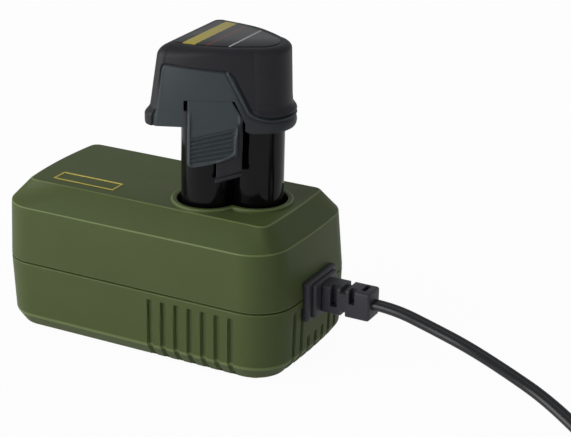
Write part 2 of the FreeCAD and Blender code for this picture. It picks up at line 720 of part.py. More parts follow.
def rounded_triangle(back, half_width, corner, apex, apex_radius, bulge, z):
    # The cap's plan: a flat back, two back corners, bulging flanks and a round apex.
    corner_x = -back + corner
    corner_y = half_width - corner
    run = math.hypot(apex - corner_x, corner_y)
    lean = math.atan2(corner_y, apex - corner_x) - math.asin((apex_radius - corner) / run)
    side_x, side_y = math.sin(lean), math.cos(lean)
    shift = size("battery_x")

    def point(x, y):
        return Vector(x + shift, y, z)

    def corner_point(side, angle):
        return point(corner_x + corner * math.cos(angle), side * (corner_y + corner * math.sin(angle)))

    flank_angle = math.pi / 2 - lean
    start = {s: point(corner_x + corner * side_x, s * (corner_y + corner * side_y)) for s in (-1, 1)}
    end = {s: point(apex + apex_radius * side_x, s * apex_radius * side_y) for s in (-1, 1)}
    middle = {s: point((start[s].x + end[s].x) / 2 - shift + bulge * side_x,
                       (start[s].y + end[s].y) / 2 + s * bulge * side_y) for s in (-1, 1)}
    half_turn = (math.pi + flank_angle) / 2
    back_low, back_high = point(-back, -corner_y), point(-back, corner_y)
    edges = [
        Part.Arc(back_low, corner_point(-1, half_turn), start[-1]),
        Part.Arc(start[-1], middle[-1], end[-1]),
        Part.Arc(end[-1], point(apex + apex_radius, 0), end[1]),
        Part.Arc(end[1], middle[1], start[1]),
        Part.Arc(start[1], corner_point(1, half_turn), back_high),
        Part.LineSegment(back_high, back_low),
    ]
    return Part.Wire([edge.toShape() for edge in edges])


def cap_outline(rise, inset):
    # The cap's plan at a height above the stalk's foot. It flares out at the skirt.
    flare_low = size("flare_rise")
    flare_high = flare_low + size("flare_height")
    if rise <= flare_low:
        grow = 0.0
    elif rise <= flare_high:
        grow = -size("flare") * (rise - flare_low) / size("flare_height")
    else:
        share = (rise - flare_high) / (size("cap_top_rise") - flare_high)
        grow = -size("flare") - size("cap_taper") * share
    step = grow - inset
    return rounded_triangle(size("cap_back") + step, size("cap_half_width") + 1.6 * step,
                            max(size("cap_corner") + step / 2, 1.0), size("cap_apex"),
                            size("cap_apex_radius") + step, 0.8, stalk_foot + rise)


def cap_form(inset, low_rise, high_rise):
    flare_low = size("flare_rise")
    flare_high = flare_low + size("flare_height")
    rises = [low_rise, flare_low, flare_high, high_rise]
    return loft([cap_outline(rise, inset) for rise in rises])


def skirt_region(gap):
    # Seen from the side: high over the flanks, low round the apex.
    x0 = size("battery_x")
    low = stalk_foot + size("skirt_rise") - size("brim_drop") - 5
    high = stalk_foot + size("split_rise") - gap
    brim = stalk_foot + size("brim_rise") - gap
    back = x0 - size("split_back") + gap
    beyond = 60  # more than the cap reaches on any side
    points = [(back, low), (back, high), (x0 + size("split_front") - gap / 2, high),
              (x0 + size("split_brim") - gap / 2, brim), (x0 + beyond, brim), (x0 + beyond, low)]
    corners = [Vector(x, -beyond, z) for x, z in points]
    return Part.Face(Part.makePolygon(corners + corners[:1])).extrude(Vector(0, 2 * beyond, 0))


def below_panels():
    # What is taken away under the flanks, so that only the brim hangs lower.
    x0 = size("battery_x")
    low = stalk_foot + size("skirt_rise") - size("brim_drop") - 5
    return Part.makeBox(60, 140, size("brim_drop") + 5, Vector(x0 - 60 + size("split_front"), -70, low))


def flank(shape, side):
    # Turns a piece built facing -Y round to the front or the back flank of the cap.
    turned_shape = shape.copy()
    turned_shape.rotate(Vector(0, 0, 0), Vector(0, 0, 1), size("flank_angle"))
    if side > 0:
        turned_shape = turned_shape.mirror(Vector(0, 0, 0), Vector(0, 1, 0))
    return at(turned_shape, size("battery_x"), 0, stalk_foot)


def flank_prism(points, side):
    # A prism through the flank from points of (along the flank, rise above the stalk's foot).
    corners = [Vector(along, -40, rise) for along, rise in points]
    return flank(Part.Face(Part.makePolygon(corners + corners[:1])).extrude(Vector(0, 32, 0)), side)


def cap_skin(outside, inside, low_rise, high_rise):
    # The layer between two depths under the cap's outer face.
    return cap_form(outside, low_rise, high_rise).cut(cap_form(inside, low_rise - 1, high_rise + 1))


def tab_edge(grow, top, low):
    # The tab's outline. Its right edge slants out and its lower edge rises towards the apex.
    left = -size("latch_left") - grow
    right = size("latch_right") + grow
    bend = size("latch_bend_rise")
    slant = size("latch_slant")
    return [(left, top), (left, low - grow), (right, low + slant - grow), (right, bend),
            (right - size("latch_right_top"), top)]


def latch_opening(side):
    top = size("latch_top_rise") + size("latch_root_gap")
    return flank_prism(tab_edge(size("latch_gap"), top, size("skirt_rise") - 12), side)


def make_latch(side):
    # A springy tab with a raised border, finger ribs and a catch under its foot.
    top = size("latch_top_rise")
    low = top - size("latch_length")
    rib = size("rib_height")
    edge = size("border_width")
    slant = size("latch_slant") / (size("latch_left") + size("latch_right"))
    tab = cap_skin(0.0, size("cap_wall"), low - 1, top).common(flank_prism(tab_edge(0.0, top, low), side))
    raised = cap_skin(-rib, 0.3, low - 1, top)
    border_top = size("border_top_rise")
    border = flank_prism(tab_edge(0.0, border_top, low), side)
    border = border.cut(flank_prism(tab_edge(-edge, top, low), side))
    pieces = [raised.common(border)]
    left = -size("latch_left") + edge / 2
    right = size("latch_right") - edge / 2
    for i in range(int(round(size("rib_count")))):
        start = low + (i + 1) * size("rib_pitch")
        end = start + (right - left) * slant
        tall = size("rib_pitch") / 2
        bar = [(left, start), (right, end), (right, end + tall), (left, start + tall)]
        pieces.append(raised.common(flank_prism(bar, side)))
    hook_low = low - size("hook_length")
    hook_left = size("hook_side") - size("hook_width") / 2
    hook_right = hook_left + size("hook_width")
    rise = size("hook_width") * slant
    wall = size("cap_wall")
    outer = wall - 0.1
    inner = outer + size("hook_thickness")
    stem_side = [(hook_left, low + 4), (hook_left, hook_low), (hook_right, hook_low + rise),
                 (hook_right, low + 4)]
    stem = cap_skin(outer, inner, hook_low - 1, low + 5).common(flank_prism(stem_side, side))
    lip_top = hook_low + size("hook_lip_height")
    lip_left, lip_right = hook_left - 0.5, hook_right + 0.5
    lip_side = [(lip_left, lip_top), (lip_left, hook_low), (lip_right, hook_low + rise),
                (lip_right, lip_top + rise)]
    lip = cap_skin(outer - size("hook_lip"), inner, hook_low - 1, low + 5).common(flank_prism(lip_side, side))
    return tab.multiFuse(pieces + [stem, lip]).removeSplitter()


def make_cap_pieces():
    top = size("cap_top_rise")
    low = size("skirt_rise") - size("brim_drop")
    outer = cap_form(0.0, low, top)
    roof = [e for e in outer.Edges if abs(e.BoundBox.ZMin - stalk_foot - top) < 0.01]
    outer = outer.makeFillet(size("cap_round"), roof)
    wall = size("cap_wall")
    inner = cap_form(wall, low - 1, top - wall)
    shell = outer.cut(inner).cut(below_panels())
    dome = shell.cut(skirt_region(0.0))
    skirt = shell.common(skirt_region(size("parting_gap")))
    for side in (-1, 1):
        skirt = skirt.cut(latch_opening(side))
        dome = dome.cut(latch_opening(side))
    return dome, skirt


def make_screw_posts(dome):
    # Posts under the dome's roof that take the pack's screws.
    wall = size("cap_wall")
    top = stalk_foot + size("cap_top_rise") - wall
    low = stalk_foot + size("stalk_height") + 2
    posts = [Part.makeCylinder(2.8, top - low + 0.5, Vector(x, y, low)) for x, y in pack_screw_places()]
    thread = size("pack_screw_radius") - 0.05
    holes = [Part.makeCylinder(thread, size("pack_screw_length"), Vector(x, y, low - 1))
             for x, y in pack_screw_places()]
    return dome.multiFuse(posts).cut(Part.makeCompound(holes)).removeSplitter()


def pack_screw_places():
    x0 = size("battery_x")
    side = size("cap_half_width") - 11.5
    return [(x0 - size("cap_back") + 7.5, -side), (x0 - size("cap_back") + 7.5, side)]


def make_pack_screws():
    low = stalk_foot + size("stalk_height")
    shank = size("pack_screw_radius") - 0.1
    screw = turned([(0, low - 1.4), (2.1, low - 1.4), (2.1, low), (shank, low),
                    (shank, low + size("pack_screw_length")), (0, low + size("pack_screw_length"))])
    return Part.makeCompound([at(screw, x, y, 0) for x, y in pack_screw_places()])


def make_stalk():
    # The three-lobed case that holds the cells, with a flange that the cap sits on.
    radius = size("stalk_radius")
    high = stalk_foot + size("stalk_height")
    stalk = three_lobes(radius, stalk_foot, high)
    flange = loft([cap_outline(rise, size("cap_wall") + size("fit_gap"))
                   for rise in (size("stalk_height"), size("stalk_height") + 2)])
    for side in (-1, 1):
        flange = flange.cut(latch_room(side))
    stalk = stalk.fuse(flange)
    stalk = stalk.cut(three_lobes(radius - size("stalk_wall"), stalk_foot + size("stalk_floor"), high + 5))
    thick, wide = size("contact_thickness") + 0.6, size("contact_width") + 0.6
    slots = [at(Part.makeBox(thick, wide, size("stalk_floor") + 2), x - thick / 2, -wide / 2, stalk_foot - 1)
             for x in contact_places()]
    holes = [Part.makeCylinder(size("pack_screw_radius"), 6, Vector(x, y, high - 2))
             for x, y in pack_screw_places()]
    reach = lobe_reach / 2 + size("strip_width") / 2 + size("fit_gap")
    strip_room = Part.makeBox(reach + 6, 7, size("cell_lift") - size("stalk_floor") + 0.3,
                              Vector(size("battery_x") - reach, -3.5, stalk_foot + size("stalk_floor")))
    stalk = stalk.cut(strip_room)
    stalk = stalk.cut(make_strips(stalk_foot + size("cell_lift") - size("strip_thickness"), 0.15))
    return stalk.cut(Part.makeCompound(slots + holes)).removeSplitter()


def latch_room(side):
    # Sets the flange back where a pressed latch swings in.
    low = size("stalk_height") - 5
    high = size("stalk_height") + 5
    room = flank_prism(tab_edge(size("latch_gap"), high, low), side)
    return room.cut(cap_form(size("cap_wall") + size("latch_travel"), low - 3, high + 3))


def make_cell(number):
    centre = lobe_centres()[number]
    low = stalk_foot + size("cell_lift")
    radius = size("cell_radius")
    high = size("cell_height")
    # A can with a rolled groove under its rim and a button on top
    shape = turned([(0, 0), (radius - 0.4, 0), (radius, 0.4), (radius, high - 3.2),
                    (radius - 0.3, high - 2.9), (radius, high - 2.6), (radius, high - 0.9),
                    (radius - 0.6, high - 0.5), (3.4, high - 0.5), (3.4, high), (0, high)])
    return at(shape, centre.x, centre.y, low)


def lobe_plate(radius, low, thick):
    return three_lobes(radius, low, low + thick)


def make_cell_cradle():
    # The moulding at the foot of the cells, with room for the terminals below it.
    low = stalk_foot + size("stalk_floor")
    high = stalk_foot + size("cell_lift") - size("strip_thickness")
    plate = lobe_plate(size("stalk_radius") - size("stalk_wall") - 0.1, high - 1.6, 1.6)
    legs = [Part.makeCylinder(2.0, high - low - 1, Vector(c.x, c.y, low)) for c in lobe_centres()]
    slot = size("contact_thickness") + size("terminal_blade") + 2 * size("fit_gap")
    wide = size("contact_width") + 0.4
    slots = [at(Part.makeBox(slot, wide, 4), x - slot / 2, -wide / 2, high - 3) for x in contact_places()]
    return plate.multiFuse(legs).cut(Part.makeCompound(slots)).removeSplitter()


def make_cell_spacer():
    low = stalk_foot + size("cell_lift") + size("cell_height") + size("strip_thickness")
    plate = lobe_plate(size("stalk_radius") - size("stalk_wall") - 0.1, low, 1.5)
    rises = [Part.makeCylinder(1.6, size("spacer_height"), Vector(c.x, c.y, low)) for c in lobe_centres(6.5)]
    return plate.multiFuse(rises).removeSplitter()


def make_strips(low, extra=0.0):
    # Nickel strips that join neighbouring cells.
    a, b, c = lobe_centres()
    half = size("strip_width") / 2 + extra
    strips = []
    for p, q in ((a, b), (b, c)):
        run = q.sub(p)
        thick = size("strip_thickness") + 2 * extra
        strip = Part.makeBox(run.Length, 2 * half, thick, Vector(0, -half, -extra))
        strip.rotate(Vector(0, 0, 0), Vector(0, 0, 1), math.degrees(math.atan2(run.y, run.x)))
        strips.append(at(strip, p.x, p.y, low))
    return strips[0].fuse(strips[1]).removeSplitter()


def make_nickel_strips():
    low = stalk_foot + size("cell_lift") - size("strip_thickness")
    high = stalk_foot + size("cell_lift") + size("cell_height")
    return Part.makeCompound([make_strips(low), make_strips(high)])


def make_protection_board():
    low = stalk_foot + size("cell_lift") + size("cell_height") + size("strip_thickness")
    low += size("spacer_height")
    board = lobe_plate(size("stalk_radius") - 3.5, low, size("protection_board_thickness"))
    top = low + size("protection_board_thickness")
    chips = [Part.makeBox(5, 4, 1.2, Vector(size("battery_x") + dx, dy, top))
             for dx, dy in ((-8, 3), (-8, -7), (1, -2))]
    return board.multiFuse(chips)


def make_battery_terminals():
    # Forked brass clips that grip the charger's blades.
    low = stalk_foot + size("stalk_floor")
    high = stalk_foot + size("cell_lift") - size("strip_thickness")
    clips = []
    for x in contact_places():
        leaf = size("terminal_blade") / 2
        gap = size("contact_thickness") / 2 + 0.05
        for side in (-1, 1):
            left = x + side * (gap + leaf / 2) - leaf / 2
            clips.append(Part.makeBox(leaf, size("contact_width"), high - low - 0.2,
                                      Vector(left, -size("contact_width") / 2, low)))
    return Part.makeCompound(clips)


def make_label():
    # A thin sticker on the flat of the cap.
    rise = size("cap_top_rise")
    inset = size("cap_taper") + size("flare") + size("cap_round") + size("label_inset") - 2.0
    low = cap_outline(size("flare_rise"), inset)
    sheet_shape = Part.Face(low).extrude(Vector(0, 0, size("label_thickness")))
    return at(sheet_shape, 0, 0, rise - size("flare_rise"))


dome, skirt = make_cap_pieces()
finished(shaped("battery_cap", make_screw_posts(dome)))
finished(shaped("battery_skirt", skirt))
finished(shaped("stalk_case", make_stalk()))
for number, name in enumerate(("cell_apex", "cell_rear", "cell_front")):
    finished(shaped(name, make_cell(number)))
finished(shaped("cell_cradle", make_cell_cradle()))
finished(shaped("cell_spacer", make_cell_spacer()))
finished(shaped("nickel_strips", make_nickel_strips()))
finished(shaped("protection_board", make_protection_board()))
finished(shaped("battery_terminals", make_battery_terminals()))
finished(shaped("battery_label", make_label()))
finished(shaped("pack_screws", make_pack_screws()))
finished(shaped("front_latch", make_latch(-1)))
finished(shaped("rear_latch", make_latch(1)))


def routed(points):
    # Straight runs joined by tangent arcs, each as wide as the shorter run beside it allows.
    share = 0.45
    edges, radii = [], []
    here = points[0]
    for before, corner, after in zip(points, points[1:], points[2:]):
        came = corner.sub(before)
        goes = after.sub(corner)
        half_turn = came.getAngle(goes) / 2
        setback = share * min(came.Length, goes.Length)
        radius = setback / math.tan(half_turn)
        radii.append(radius)
        unit_in = Vector(came).normalize()
        unit_out = Vector(goes).normalize()
        start = corner.sub(unit_in * setback)
        end = corner.add(unit_out * setback)
        inward = Vector(unit_out.sub(unit_in)).normalize()
        middle = corner.add(inward * (radius / math.cos(half_turn) - radius))
        edges += [Part.LineSegment(here, start).toShape(), Part.Arc(start, middle, end).toShape()]
        here = end
    edges.append(Part.LineSegment(here, points[-1]).toShape())
    return Part.Wire(edges), radii


def tube(name, points, diameter):
    path, radii = routed(points)
    heading = points[1].sub(points[0])
    ring_face = Part.Wire(Part.makeCircle(diameter / 2, points[0], heading))
    solid = path.makePipeShell([ring_face], True, True)
    expected = path.Length * math.pi * diameter ** 2 / 4
    print(name, "length %.1f" % path.Length, "least radius %.1f" % min(radii),
          "volume / expected %.3f" % (solid.Volume / expected), "lowest %.2f" % solid.BoundBox.ZMin)
    return solid


# Where the lead runs once it has left the strain relief
cord_low = size("cord_diameter") / 2
coil_centre = Vector(size("coil_x"), size("coil_y"), 0)
coil_enter = 219.5
coil_leave = 270.0
plug_heading = 90.0


def round_coil(angle, reach, height=0.0):
    turn = math.radians(angle)
    return coil_centre.add(Vector(reach * math.cos(turn), reach * math.sin(turn), height))


def lead_points():
    on_floor = round_coil(coil_enter, size("coil_outer"), cord_low)
    heading = Vector(-math.sin(math.radians(coil_enter)), math.cos(math.radians(coil_enter)), 0)
    exit_x = size("cord_exit")
    return [Vector(exit_x, 0, size("relief_height")), Vector(exit_x + 8.7, 0, size("relief_height")),
            Vector(113, 0.3, 25.4), Vector(129, 0.2, 19.4), Vector(145, -0.5, 13), Vector(160, -2, 5),
            Vector(177, -8.5, cord_low), on_floor.sub(heading * 11), on_floor]


def tail_points():
    # Off the top of the coil, round beside it on the floor and up into the back of the plug.
    start = round_coil(coil_leave, size("coil_outer"), cord_low + size("coil_layer"))
    heading = Vector(-math.sin(math.radians(coil_leave)), math.cos(math.radians(coil_leave)), 0)
    return [start, start.add(heading * 16), coil_centre.add(Vector(47.2, -size("coil_outer"), cord_low)),
            coil_centre.add(Vector(size("plug_beside"), -26.2, cord_low + 1.7)), plug_start()]


def plug_start():
    return coil_centre.add(Vector(size("plug_beside"), -4.2, size("plug_height") / 2))


def on_plug(shape):
    # Turns a piece built along +X from the plug's rear end into the plug's place.
    moved = shape.copy()
    moved.rotate(Vector(0, 0, 0), Vector(0, 0, 1), plug_heading)
    start = plug_start()
    return at(moved, start.x, start.y, start.z)


def make_plug():
    half_width = size("plug_width") / 2
    half_height = size("plug_height") / 2
    sleeve = size("plug_sleeve")
    taper = sleeve + size("plug_taper")
    end = sleeve + size("plug_length") - size("plug_sleeve")
    outline = [Vector(sleeve - 1, -5, -half_height), Vector(taper, -half_width, -half_height),
               Vector(end, -half_width, -half_height), Vector(end, half_width, -half_height),
               Vector(taper, half_width, -half_height), Vector(sleeve - 1, 5, -half_height)]
    body = Part.Face(Part.makePolygon(outline + outline[:1])).extrude(Vector(0, 0, 2 * half_height))
    upright = [e for e in body.Edges if abs(e.Vertexes[0].Z - e.Vertexes[1].Z) > half_height]
    body = body.makeFillet(3.0, upright)
    flat = [e for e in body.Edges if e.BoundBox.ZLength < 0.01]
    body = body.makeFillet(2.0, flat)
    neck = Part.makeCone(3.4, 4.6, sleeve + 2, Vector(0, 0, 0), Vector(1, 0, 0))
    holes = [Part.makeCylinder(size("pin_radius"), 8, Vector(end - 8, y, 0), Vector(1, 0, 0))
             for y in pin_places()]
    return on_plug(body.fuse(neck).cut(Part.makeCompound(holes)).removeSplitter())


def pin_places():
    return (-size("pin_pitch") / 2, size("pin_pitch") / 2)


def make_plug_pins():
    end = size("plug_length")
    radius = size("pin_radius")
    pins = []
    for y in pin_places():
        pin = Part.makeCylinder(radius, size("pin_length") + 8, Vector(end - 8, y, 0), Vector(1, 0, 0))
        tip = [e for e in pin.Edges if abs(e.BoundBox.XMin - end - size("pin_length")) < 0.01]
        pins.append(pin.makeFillet(radius * 0.6, tip))
    return on_plug(Part.makeCompound(pins))


def make_coil():
    # The spare length put away as a flat coil, as one closed ring, pinched by its tie.
    inner = size("coil_inner") - size("cord_width") / 2
    outer = size("coil_outer") + size("cord_width") / 2
    low = 0.0
    high = size("coil_height")
    profile = [(inner, low), (outer, low), (outer, high), (inner, high)]
    ring_solid = at(turned(profile), coil_centre.x, coil_centre.y, 0)
    ring_solid = ring_solid.makeFillet(2.2, ring_solid.Edges)
    return ring_solid.cut(tie_shell()).cut(lead_ends())


def lead_ends():
    # Room for the lead and its tail where they join the coil.
    return Part.makeCompound([tube("lead at the coil", lead_points()[-3:], size("cord_diameter")),
                              tube("tail at the coil", tail_points()[:3], size("cord_diameter"))])


def tie_shell():
    coil_band = size("coil_outer") - size("coil_inner") + size("cord_width")
    band = coil_band + 2 * size("tie_thickness")
    tall = size("coil_height") + size("tie_thickness")
    width = size("tie_width")
    outer = Part.makeBox(band, width, tall, Vector(-band / 2, -width / 2, 0))
    long_edges = [e for e in outer.Edges if e.BoundBox.YLength > width - 0.1]
    outer = outer.makeFillet(2.6, long_edges)
    inner = Part.makeBox(coil_band - 2 * 0.8, width + 2, size("coil_height") - 1.4,
                         Vector(-coil_band / 2 + 0.8, -width / 2 - 1, size("tie_thickness")))
    inner_edges = [e for e in inner.Edges if e.BoundBox.YLength > width]
    shell = outer.cut(inner.makeFillet(2.0, inner_edges))
    place_angle = 75.0
    shell.translate(Vector((size("coil_outer") + size("coil_inner")) / 2, 0, 0))
    shell.rotate(Vector(0, 0, 0), Vector(0, 0, 1), place_angle)
    return at(shell, coil_centre.x, coil_centre.y, 0)


def make_relief():
    # Moulded on the lead: a flange in the case's end wall, a neck inside, two blocks joined by ribs outside.
    end = size("case_length") / 2
    axis = size("relief_height")
    gap = size("fit_gap")

    def slab(x0, x1, width, height, corner=0.0):
        box = Part.makeBox(x1 - x0, width, height, Vector(x0, -width / 2, axis - height / 2))
        if corner:
            box = box.makeFillet(corner, [e for e in box.Edges if e.BoundBox.XLength > x1 - x0 - 0.01])
        return box

    face = end - 1.2 + gap
    flange_end = face + size("flange_thickness") + 1.0
    pieces = [slab(face, flange_end, size("flange_width"), size("flange_height"), 1.6),
              slab(flange_end, flange_end + 2.2, size("flange_width") - 5.5,
                   size("flange_height") - 1.6, 1.2),
              slab(end - 9, face, size("neck_width"), size("neck_height")),
              slab(end - 9, end - 5.2, size("neck_width") + 5, size("neck_height") + 4, 1.0)]
    step = flange_end + 2.2
    stops = []
    while step < size("cord_exit") - size("segment_length") - 1:
        stops.append(step)
        step += size("segment_length") + size("segment_gap")
    outer = size("segment_width")
    tall = size("segment_height")
    for i, x in enumerate(stops):
        last = i == len(stops) - 1
        length = size("cord_exit") - x if last else size("segment_length")
        pieces.append(slab(x, x + length, outer, tall, 1.2))
        if not last:
            link = size("segment_gap")
            for side in (-1, 1):
                corner = Vector(x + length - 0.5, side * (outer / 2 - 1.9) - 1.1, axis - tall / 2 + 1.5)
                rib = Part.makeBox(link + 1, 2.2, tall - 3, corner)
                pieces.append(rib)
            pieces.append(Part.makeCylinder(size("cord_diameter") / 2 + 0.9, link + 1,
                                            Vector(x + length - 0.5, 0, axis), Vector(1, 0, 0)))
    relief = pieces[0].multiFuse(pieces[1:])
    last_length = size("cord_exit") - stops[-1]
    notches = []
    for side in (-1, 1):
        for i in range(3):
            x = stops[-1] + 2.0 + i * 2.9
            if x < stops[-1] + last_length - 1.5:
                notches.append(Part.makeBox(1.3, 2.2, tall * 0.55, Vector(x, side * (outer / 2 + 0.2) - 1.1,
                                            axis - (tall * 0.1 if i % 2 else tall * 0.45))))
                notches.append(Part.makeBox(1.3, outer * 0.55, 2.2, Vector(
                    x, -outer * (0.1 if i % 2 else 0.45), axis + side * (tall / 2 + 0.2) - 1.1)))
    return relief.cut(Part.makeCompound(notches)).removeSplitter()


def make_mains_leads():
    # The lead's two cores, from the back of the strain relief down to the terminal block.
    start_x = size("case_length") / 2 - 9
    tube_ends = []
    top = board_top + size("terminal_height")
    for side in (-1, 1):
        y = side * 1.9
        points = [Vector(start_x, y, size("relief_height")), Vector(start_x - 6, y, size("relief_height")),
                  Vector(size("terminal_x"), y * 1.3, size("relief_height") - 3.5),
                  Vector(size("terminal_x"), y * 1.3, top)]
        tube_ends.append(tube("mains lead inside", points, 1.8))
    return Part.makeCompound(tube_ends)


finished(shaped("strain_relief", make_relief()))
finished(shaped("mains_leads", make_mains_leads()))
finished(shaped("mains_cord", tube("mains_cord", lead_points(), size("cord_diameter"))))
finished(shaped("cord_coil", make_coil()))
finished(shaped("cord_tail", tube("cord_tail", tail_points(), size("cord_diameter")).cut(make_plug())))
finished(shaped("cord_tie", tie_shell()))
finished(shaped("plug_body", make_plug()))
finished(shaped("plug_pins", make_plug_pins()))

doc.recompute()
for thing in doc.Objects:
    if "Invalid" in thing.State or "Error" in thing.State:
        raise RuntimeError(thing.Label + " did not recompute")
os.makedirs("parts", exist_ok=True)
for thing in parts_out:
    shape = thing.Shape
    if shape.isNull() or not shape.isValid():
        raise RuntimeError(thing.Label + " has no valid solid")
    shape.exportStep("parts/%s.step" % thing.Label)
    box = shape.BoundBox
    print(thing.Label, round(shape.Volume), len(shape.Solids),
          [round(v, 1) for v in (box.XMin, box.XMax, box.YMin, box.YMax, box.ZMin, box.ZMax)])
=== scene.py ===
import math
import bmesh
import bpy
import numpy as np
from mathutils import Matrix, Vector


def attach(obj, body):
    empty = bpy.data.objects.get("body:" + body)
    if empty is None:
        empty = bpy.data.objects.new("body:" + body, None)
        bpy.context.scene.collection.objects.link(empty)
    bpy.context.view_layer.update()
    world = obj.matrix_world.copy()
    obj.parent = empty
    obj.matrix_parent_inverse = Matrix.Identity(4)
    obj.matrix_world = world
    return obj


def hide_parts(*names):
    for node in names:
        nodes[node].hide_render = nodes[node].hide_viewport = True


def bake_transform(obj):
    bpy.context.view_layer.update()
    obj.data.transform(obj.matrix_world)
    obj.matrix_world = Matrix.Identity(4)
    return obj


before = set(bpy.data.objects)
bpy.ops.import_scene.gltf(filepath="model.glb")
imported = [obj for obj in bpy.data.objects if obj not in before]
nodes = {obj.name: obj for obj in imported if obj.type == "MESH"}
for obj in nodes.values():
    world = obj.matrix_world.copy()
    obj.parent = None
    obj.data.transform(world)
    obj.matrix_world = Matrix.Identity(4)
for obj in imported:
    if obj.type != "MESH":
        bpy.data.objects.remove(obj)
mm = 0.001

# Sizes in millimetres, in the part's frame: +X to the mains lead, -Y to the viewer, +Z up.
case = dict(length=129.0, width=71.2, height=62.3, seam=30.0, hip=53.8, wall=2.2,
            leftCorner=14.0, rightCorner=16.0, topCorner=3.2, leftBow=195.0, rightBow=330.0, topBowLess=10.0,
            draft=0.6, draftRight=2.3, hipInset=10.3, hipInsetEnd=7.9,
            lowDraft=0.5, lowDraftLeft=1.5, foot=1.2, chamfer=5.4, baseInset=3.8,
            groove=1.1, seamHalf=0.46, seamGap=0.05, footX=50, footY=24, screwBore=3.1, boreTop=17.0)
socket = dict(x=25.7, spacing=19.0, stalk=10.65, gap=1.65, rimWidth=2.5, rimLean=0.25, rimHeight=1.2)


def report(stage):
    print("scene:", stage)


def smooth(value, start=0.0, run=1.0):
    # Zero up to start and one from start + run on, rising as 3 t^2 - 2 t^3 between. A negative run falls.
    t = np.clip((value - start) / run, 0, 1)
    return t * t * (3 - 2 * t)


# Meshes

def addObject(name, mesh):
    # A new object in the scene.
    thing = bpy.data.objects.new(name, mesh)
    bpy.context.scene.collection.objects.link(thing)
    return thing


def shadeSmooth(mesh, sharp=40.0):
    # Smooth, with creases where faces meet at more than an angle.
    mesh.shade_smooth()
    mesh.set_sharp_from_angle(angle=math.radians(sharp))


def meshObject(name, points, faces, sharp=40.0):
    mesh = bpy.data.meshes.new(name)
    mesh.from_pydata((np.asarray(points, float) * mm).tolist(), [], faces)
    mesh.validate()
    shadeSmooth(mesh, sharp)
    return addObject(name, mesh)


def parabola(a, corner, b, t):
    # The curve from a to b, whose ends point to the corner, with t from 0 to 1.
    return (1 - t) ** 2 * a + 2 * t * (1 - t) * corner + t ** 2 * b


def gridFaces(rows, columns, wrap=False):
    # Quads between neighbouring closed rings. With wrap the last ring meets the first.
    r = np.arange(rows if wrap else rows - 1)[:, None] * columns
    up = (np.roll(np.arange(rows), -1)[:len(r)] * columns)[:, None]
    i = np.arange(columns)[None, :]
    j = (i + 1) % columns
    return np.stack([r + i, r + j, up + j, up + i], -1).reshape(-1, 4).tolist()


def ringObject(name, rings, wrap=False, sharp=40.0):
    # A surface through closed rings, joined into a torus or closed by a face at each end.
    rings = np.asarray(rings, float)
    rows, columns = rings.shape[:2]
    faces = gridFaces(rows, columns, wrap=wrap)
    if not wrap:
        faces.append(list(range(columns))[::-1])
        faces.append(list(range((rows - 1) * columns, rows * columns)))
    return meshObject(name, rings.reshape(-1, 3), faces, sharp)


def roundedColumns(sections, setbacks, paintedHighlight, steps=6):
    # Joins sections by straight runs and turns each corner as a parabola from a setback away.
    # Each ring comes with its share of painted highlight, the most at the middle of a corner that gets one.
    sections = np.asarray(sections, float)
    rings, wear = [sections[0]], [0.0]
    for k in range(1, len(sections) - 1):
        before, here, after = sections[k - 1:k + 2]
        back, ahead = before - here, after - here
        reachBack = np.linalg.norm(back, axis=1, keepdims=True)
        reachAhead = np.linalg.norm(ahead, axis=1, keepdims=True)
        start = here + back * np.minimum(setbacks[k] / reachBack, 0.45)
        end = here + ahead * np.minimum(setbacks[k] / reachAhead, 0.45)
        for t in np.linspace(0, 1, steps):
            rings.append(parabola(start, here, end, t))
            wear.append(paintedHighlight[k] * min(1.0, 6 * t * (1 - t)))
    return rings + [sections[-1]], wear + [0.0]


def keepValues(thing, attribute, values):
    # Keeps a number for each of the first vertices, and zero for the rest, for the shader.
    every = np.zeros(len(thing.data.vertices), np.float32)
    every[:len(values)] = values
    thing.data.attributes.new(attribute, "FLOAT", "POINT").data.foreach_set("value", every)


def joinObjects(name, things):
    # Puts several objects' meshes into one.
    joined = bmesh.new()
    for thing in things:
        thing.data.transform(thing.matrix_world)
        joined.from_mesh(thing.data)
        bpy.data.objects.remove(thing)
    mesh = bpy.data.meshes.new(name)
    joined.to_mesh(mesh)
    joined.free()
    shadeSmooth(mesh)
    return addObject(name, mesh)


def roundedBox(low, high, radius=0.5, bend=None):
    # A box between two corners with rounded edges. A bend maps its points into place.
    low, high = Vector(low), Vector(high)
    shape = bmesh.new()
    bmesh.ops.create_cube(shape, size=1.0, matrix=Matrix.LocRotScale((low + high) / 2, None, high - low))
    if bend:
        bmesh.ops.subdivide_edges(shape, edges=shape.edges[:], cuts=3, use_grid_fill=True)
    corners = [edge for edge in shape.edges if edge.calc_face_angle(0) > 0.5]
    bmesh.ops.bevel(shape, geom=corners, offset=radius, segments=3, affect="EDGES", profile=0.5)
    mesh = bpy.data.meshes.new("box")
    shape.to_mesh(mesh)
    shape.free()
    places = np.empty(len(mesh.vertices) * 3, np.float32)
    mesh.vertices.foreach_get("co", places)
    places = places.reshape(-1, 3).astype(float)
    places = (bend(*places.T) if bend else places) * mm
    mesh.vertices.foreach_set("co", places.ravel().astype(np.float32))
    mesh.shade_smooth()
    return addObject("box", mesh)


def cutAway(thing, cutters):
    # Takes the cutters out of thing.
    for cutter in cutters:
        step = thing.modifiers.new("cut", "BOOLEAN")
        step.operation = "DIFFERENCE"
        step.solver = "EXACT"
        step.object = cutter
    graph = bpy.context.evaluated_depsgraph_get()
    mesh = bpy.data.meshes.new_from_object(thing.evaluated_get(graph))
    thing.modifiers.clear()
    thing.data = mesh
    shadeSmooth(mesh, 35)
    for cutter in cutters:
        bpy.data.objects.remove(cutter)
    return thing


